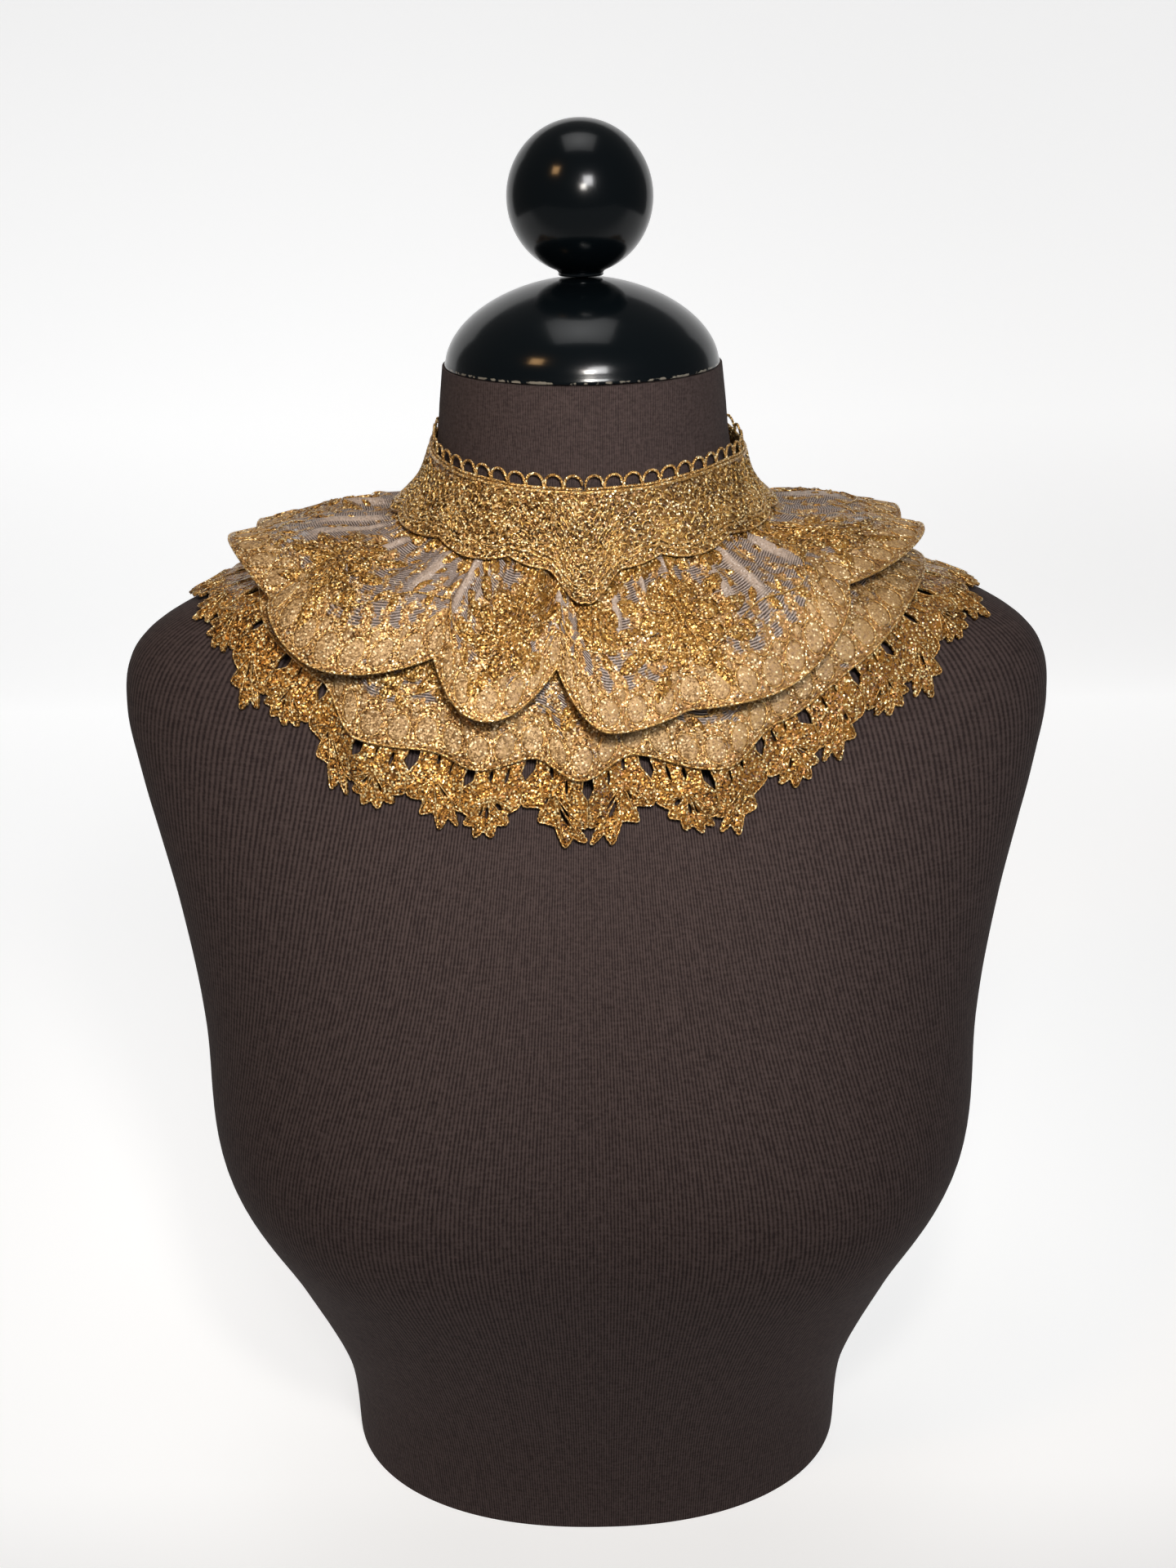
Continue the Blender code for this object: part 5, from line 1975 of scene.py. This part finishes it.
@dataclass
class LeafEdging:
    """The guipure edging: serrated leaves that touch, cut through between and within."""

    drape: Drape
    kinds: tuple[Leaf, ...] = (
        Leaf(0.49, 2.9, -3.5, 2, 5, 0.40, 0.35),
        Leaf(0.51, 3.3, 2.0, -2, 6, 0.33, 0.12),
    )
    leaf_pairs: int = 10
    measured_at: float = 88
    header: tuple[float, float] = (-7, -1)
    shoulder: float = 4.5
    touch: tuple[float, float] = (9, 15)
    length: float = 27.5
    sway: float = 1.5
    slant: float = 4
    slant_taper: float = 18
    seam_angle: float = 0.15
    shell: float = 0.9
    spacing: float = 1.5
    relief: float = 1.0

    def __post_init__(self) -> None:
        """Measures the run round half of the edging, from the front to the back."""
        angle = np.linspace(0, 180 - self.drape.back_opening, 400)
        level = np.full_like(angle, self.measured_at)
        line = self.drape.form.over(angle, level, np.full_like(angle, 3.0))
        self.angle = angle
        self.run = np.concatenate([[0], np.cumsum(np.linalg.norm(np.diff(line, axis=0), axis=1))])

    def at(self, along: Array, down: Array, height: Array) -> Array:
        """Points over the edging.

        Args:
            along: lengths from the front, negative on the left.
            down: distances past the lower ruffle's edge.
            height: how high they stand over the leaves' outer side.

        Returns:
            (..., 3) points.
        """
        total = self.run[-1]
        size = np.abs(along)
        share = smooth_step((down - self.header[1]) / (self.touch[1] - self.header[1]))
        ends = np.clip(np.minimum(size, total - size) / self.slant_taper, 0, 1)
        shifted = size + self.slant * share * ends
        angle = np.maximum(self.seam_angle, np.interp(shifted, self.run, self.angle))
        angle = angle * np.sign(along)
        edge, _ = wave_at(self.drape.lower_edge, angle, sharp=False)
        lift = self.drape.leaf_lift(angle, edge + down) + self.drape.leaf_thick
        return self.drape.form.over(angle, edge + down, lift + height)

    def cuts(self, side: int) -> list[LeafCut]:
        """The flat cuts of one side's leaves, from the front to the back.

        Args:
            side: -1 for the left half, 1 for the right.

        Returns:
            The cuts, two kinds in turn.
        """
        pair = self.run[-1] / self.leaf_pairs
        made = []
        for number in range(self.leaf_pairs * 2):
            leaf = self.kinds[number % 2]
            left = (number // 2 + (number % 2) * self.kinds[0].width) * pair
            reach = self.length + leaf.longer + self.sway * math.sin(2.3 * number + side)
            cut = LeafCut(
                leaf, left, leaf.width * pair, reach, self.header, self.shoulder, self.touch, number
            )
            made.append(cut)
        return made

    def build(self) -> list[Piece]:
        """Both sides' leaves and their corded edges and veins.

        Returns:
            Each side's leaves and its cords.
        """
        made = []
        ground, cord = GUIPURE_THREAD.make(), CORD_THREAD.make()
        for side, name in ((-1, "left"), (1, "right")):
            leaves = Stitching(f"guipure_leaves_{name}")
            edges = Stitching(f"guipure_cords_{name}", self.outer_side(side))
            cuts = self.cuts(side)
            area = sum(self.add_leaf(leaves, cut, side) for cut in cuts)
            self.add_cords(edges, cuts)
            piece = dress(leaves.make(), ground, Slot.GUIPURE, f"leaf_edging_{name}")
            cords_made = dress(edges.make(), cord, Slot.GUIPURE)
            made += [piece, cords_made]
        return made

    def add_leaf(self, leaves: Stitching, cut: LeafCut, side: int) -> float:
        """Adds a leaf as a closed shell whose fingers are raised.

        At a distance d from a finger's middle line the leaf stands relief exp(-(d / 1.5)²) higher.

        Args:
            leaves: what takes it in.
            cut: the leaf's flat cut.
            side: -1 for the left half, 1 for the right.

        Returns:
            The leaf's flat area.
        """
        flat, faces = cut.triangles(self.spacing)
        first, second, third = (flat[faces[:, corner]] for corner in range(3))
        turned = (second[:, 0] - first[:, 0]) * (third[:, 1] - first[:, 1])
        turned = turned - (second[:, 1] - first[:, 1]) * (third[:, 0] - first[:, 0])
        faces = np.where((turned * side > 0)[:, None], faces[:, ::-1], faces)
        sides = np.concatenate([faces[:, [0, 1]], faces[:, [1, 2]], faces[:, [2, 0]]])
        count = len(flat)
        code, back = sides[:, 0] * count + sides[:, 1], sides[:, 1] * count + sides[:, 0]
        rim = sides[~np.isin(back, code)]
        away = to_segments(flat, cut.heart, cut.tips())
        height = self.relief * np.exp(-((away / 1.5) ** 2))
        height[rim.ravel()] = 0
        height[flat[:, 1] < self.touch[0] - 4] *= 0.3
        outer = self.at(side * np.maximum(flat[:, 0], 0.01), flat[:, 1], height - 0.15)
        inner = self.at(side * np.maximum(flat[:, 0], 0.01), flat[:, 1], np.full(count, -0.15 - self.shell))
        walls = np.stack([rim[:, 1], rim[:, 0], rim[:, 0] + count, rim[:, 1] + count], -1)
        leaves.add(np.concatenate([outer, inner]), walls, np.concatenate([faces, faces[:, ::-1] + count]))
        return float(np.abs(turned).sum() / 2)

    def outer_side(self, side: int) -> Place:
        """Where one side's cords lie, close over the leaves' edges."""
        return Place(lambda along, down, height: self.at(side * np.maximum(along, 0.3), down, height), -0.1)

    def add_cords(self, edges: Stitching, cuts: Sequence[LeafCut]) -> None:
        """Cords round each leaf, a vein along each finger, and two along the header.

        Args:
            edges: what takes them in.
            cuts: the leaves' flat cuts.
        """
        outlines = np.stack([resampled(cut.outline(), 150) for cut in cuts])
        edges.cords(outlines, 0.38, closed=True, sides=4, height=0.05)
        share = np.linspace(0.1, 0.86, 6)[None, :, None]
        veins = [cut.heart + share * (cut.tips()[:, None] - cut.heart) for cut in cuts]
        edges.cords(np.concatenate(veins), 0.3, sides=4, height=self.relief)
        along = np.linspace(0.8, self.run[-1] - 0.8, 700)
        paths = np.stack([pairs(along, down) for down in (-6.3, -2.0)])
        edges.cords(paths, 0.55, height=0.2)


def build_hooks() -> None:
    """Gives the wire hooks at the back their brass."""
    brass = BRASS.make()
    for number in (1, 2):
        node = bpy.data.objects[f"hook_{number}"]
        node.data.materials.clear()
        node.data.materials.append(brass)


class Lamp(NamedTuple):
    """A square area light: where it stands and aims, its size, power, colour and spread."""

    name: str
    place: tuple[float, float, float]
    aim: tuple[float, float, float]
    size: float
    power: float
    colour: str
    spread: float


@dataclass
class Studio:
    """The camera at the photograph's angle, a pale sweep, and soft lights."""

    eye: tuple[float, float, float] = (0.0, -0.645, 0.512)
    pitch: float = 17.0
    roll: float = -0.8
    focal_pixels: float = 1900.0
    image_height: float = 1920.0
    sweep_back: float = 1.75
    sweep_radius: float = 0.35
    sweep_half_width: float = 2.2
    sweep_front: float = -1.5
    sweep_top: float = 2.2
    floor_glow: float = 0.2
    wall_glow: float = 0.68
    glow_from: float = -0.4
    glow_to: float = -0.06
    lamps: tuple[Lamp, ...] = (
        Lamp("flash", (0.05, -0.53, 0.65), (0.0, -0.10, 0.37), 0.07, 0.37, "fffaf2", 64),
        Lamp("soft_key", (0.30, -1.30, 1.02), (-0.10, 0.30, 0.40), 0.35, 0.85, "ffffff", 44),
        Lamp("warm_lamp", (-0.70, -0.80, 1.25), (0.0, 0.0, 0.42), 0.22, 0.30, "ffc98a", 60),
        Lamp("top_light", (0.0, -0.12, 1.50), (0.0, 0.0, 0.40), 0.6, 0.35, "ffffff", 60),
    )
    world_glow: float = 0.12

    def build(self) -> None:
        """Makes the camera, the sweep and the lights."""
        self.camera()
        self.sweep()
        for lamp in self.lamps:
            self.light(lamp)
        self.world()

    def camera(self) -> None:
        """Places the camera and makes it the scene's own."""
        lens = bpy.data.cameras.new("photograph")
        lens.sensor_width = 36.0
        lens.lens = self.focal_pixels / self.image_height * 36.0
        made = bpy.data.objects.new("photograph", lens)
        made.rotation_mode = "QUATERNION"
        turned = Matrix.Rotation(math.radians(90 - self.pitch), 4, "X")
        turned = turned @ Matrix.Rotation(math.radians(self.roll), 4, "Z")
        made.matrix_world = Matrix.Translation(Vector(self.eye)) @ turned
        bpy.context.scene.collection.objects.link(made)
        bpy.context.scene.camera = made

    def sweep(self) -> None:
        """A floor that curves up into a wall: a line, a quarter circle and a line."""
        turn = np.linspace(0, math.pi / 2, 14)
        back, radius = self.sweep_back, self.sweep_radius
        y = np.concatenate([[self.sweep_front], back - radius + radius * np.sin(turn), [back]])
        z = np.concatenate([[0.0], radius - radius * np.cos(turn), [self.sweep_top]])
        x = np.linspace(-self.sweep_half_width, self.sweep_half_width, 9)
        rows = np.stack(np.broadcast_arrays(x[None], y[::-1, None], z[::-1, None]), -1)
        floor = add_mesh("pale_sweep", rows.reshape(-1, 3) / MM, grid_quads(len(y), len(x)))
        material, tree, shader = new_material("lit_white_paper")
        feed(tree, shader, {"Base Color": linear("c8c8c8"), "Roughness": 0.9})
        place = add_node(tree, "NewGeometry").outputs["Position"]
        split = add_node(tree, "SeparateXYZ", {"Vector": place})
        level = add_node(
            tree, "MapRange",
            {
                "Value": split.outputs[1],
                "From Min": self.glow_from,
                "From Max": self.glow_to,
                "To Min": self.floor_glow,
                "To Max": self.wall_glow,
            },
        )
        feed(tree, shader, {"Emission Color": linear("ffffff"), "Emission Strength": level})
        floor.data.materials.append(material)

    def world(self) -> None:
        """A faint even light from all round, and colours shown without a film curve."""
        world = bpy.data.worlds.new("studio")
        world.use_nodes = True
        backdrop = world.node_tree.nodes["Background"]
        feed(world.node_tree, backdrop, {"Color": linear("ffffff"), "Strength": self.world_glow})
        bpy.context.scene.world = world
        bpy.context.scene.view_settings.view_transform = "Standard"

    def light(self, lamp: Lamp) -> None:
        """Adds a lamp that faces its aim; a narrow spread is a soft box's grid."""
        data = bpy.data.lights.new(lamp.name, "AREA")
        data.size = lamp.size
        data.energy = lamp.power
        data.color = linear(lamp.colour)[:3]
        data.spread = math.radians(lamp.spread)
        made = bpy.data.objects.new(lamp.name, data)
        made.location = lamp.place
        facing = Vector(lamp.aim) - Vector(lamp.place)
        made.rotation_euler = facing.to_track_quat("-Z", "Y").to_euler()
        bpy.context.scene.collection.objects.link(made)


def main() -> None:
    """Builds every sub-assembly in order and reports its pieces."""
    logging.basicConfig(level=logging.INFO, format="%(message)s")
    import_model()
    Studio().build()
    form = FormShape()
    drape = Drape(form)
    made = [DressForm(form).build(), *CapAndBall(form.rings[-1]).build()]
    made += LeafEdging(drape).build()
    lower = Ruffle(drape, Layer.LOWER, 540, 34, (0.75, 0.078), 43, first_flower=3.0, flower_step=44.0)
    upper = Ruffle(drape, Layer.UPPER, 780, 42, (0.76, 0.072), 33, creases=UPPER_CREASES)
    made += lower.build() + upper.build()
    made += Neckband(drape).build()
    made += LoopEdging(drape).build()
    build_hooks()
    for piece in made:
        report(piece)


if __name__ == "__main__":
    main()
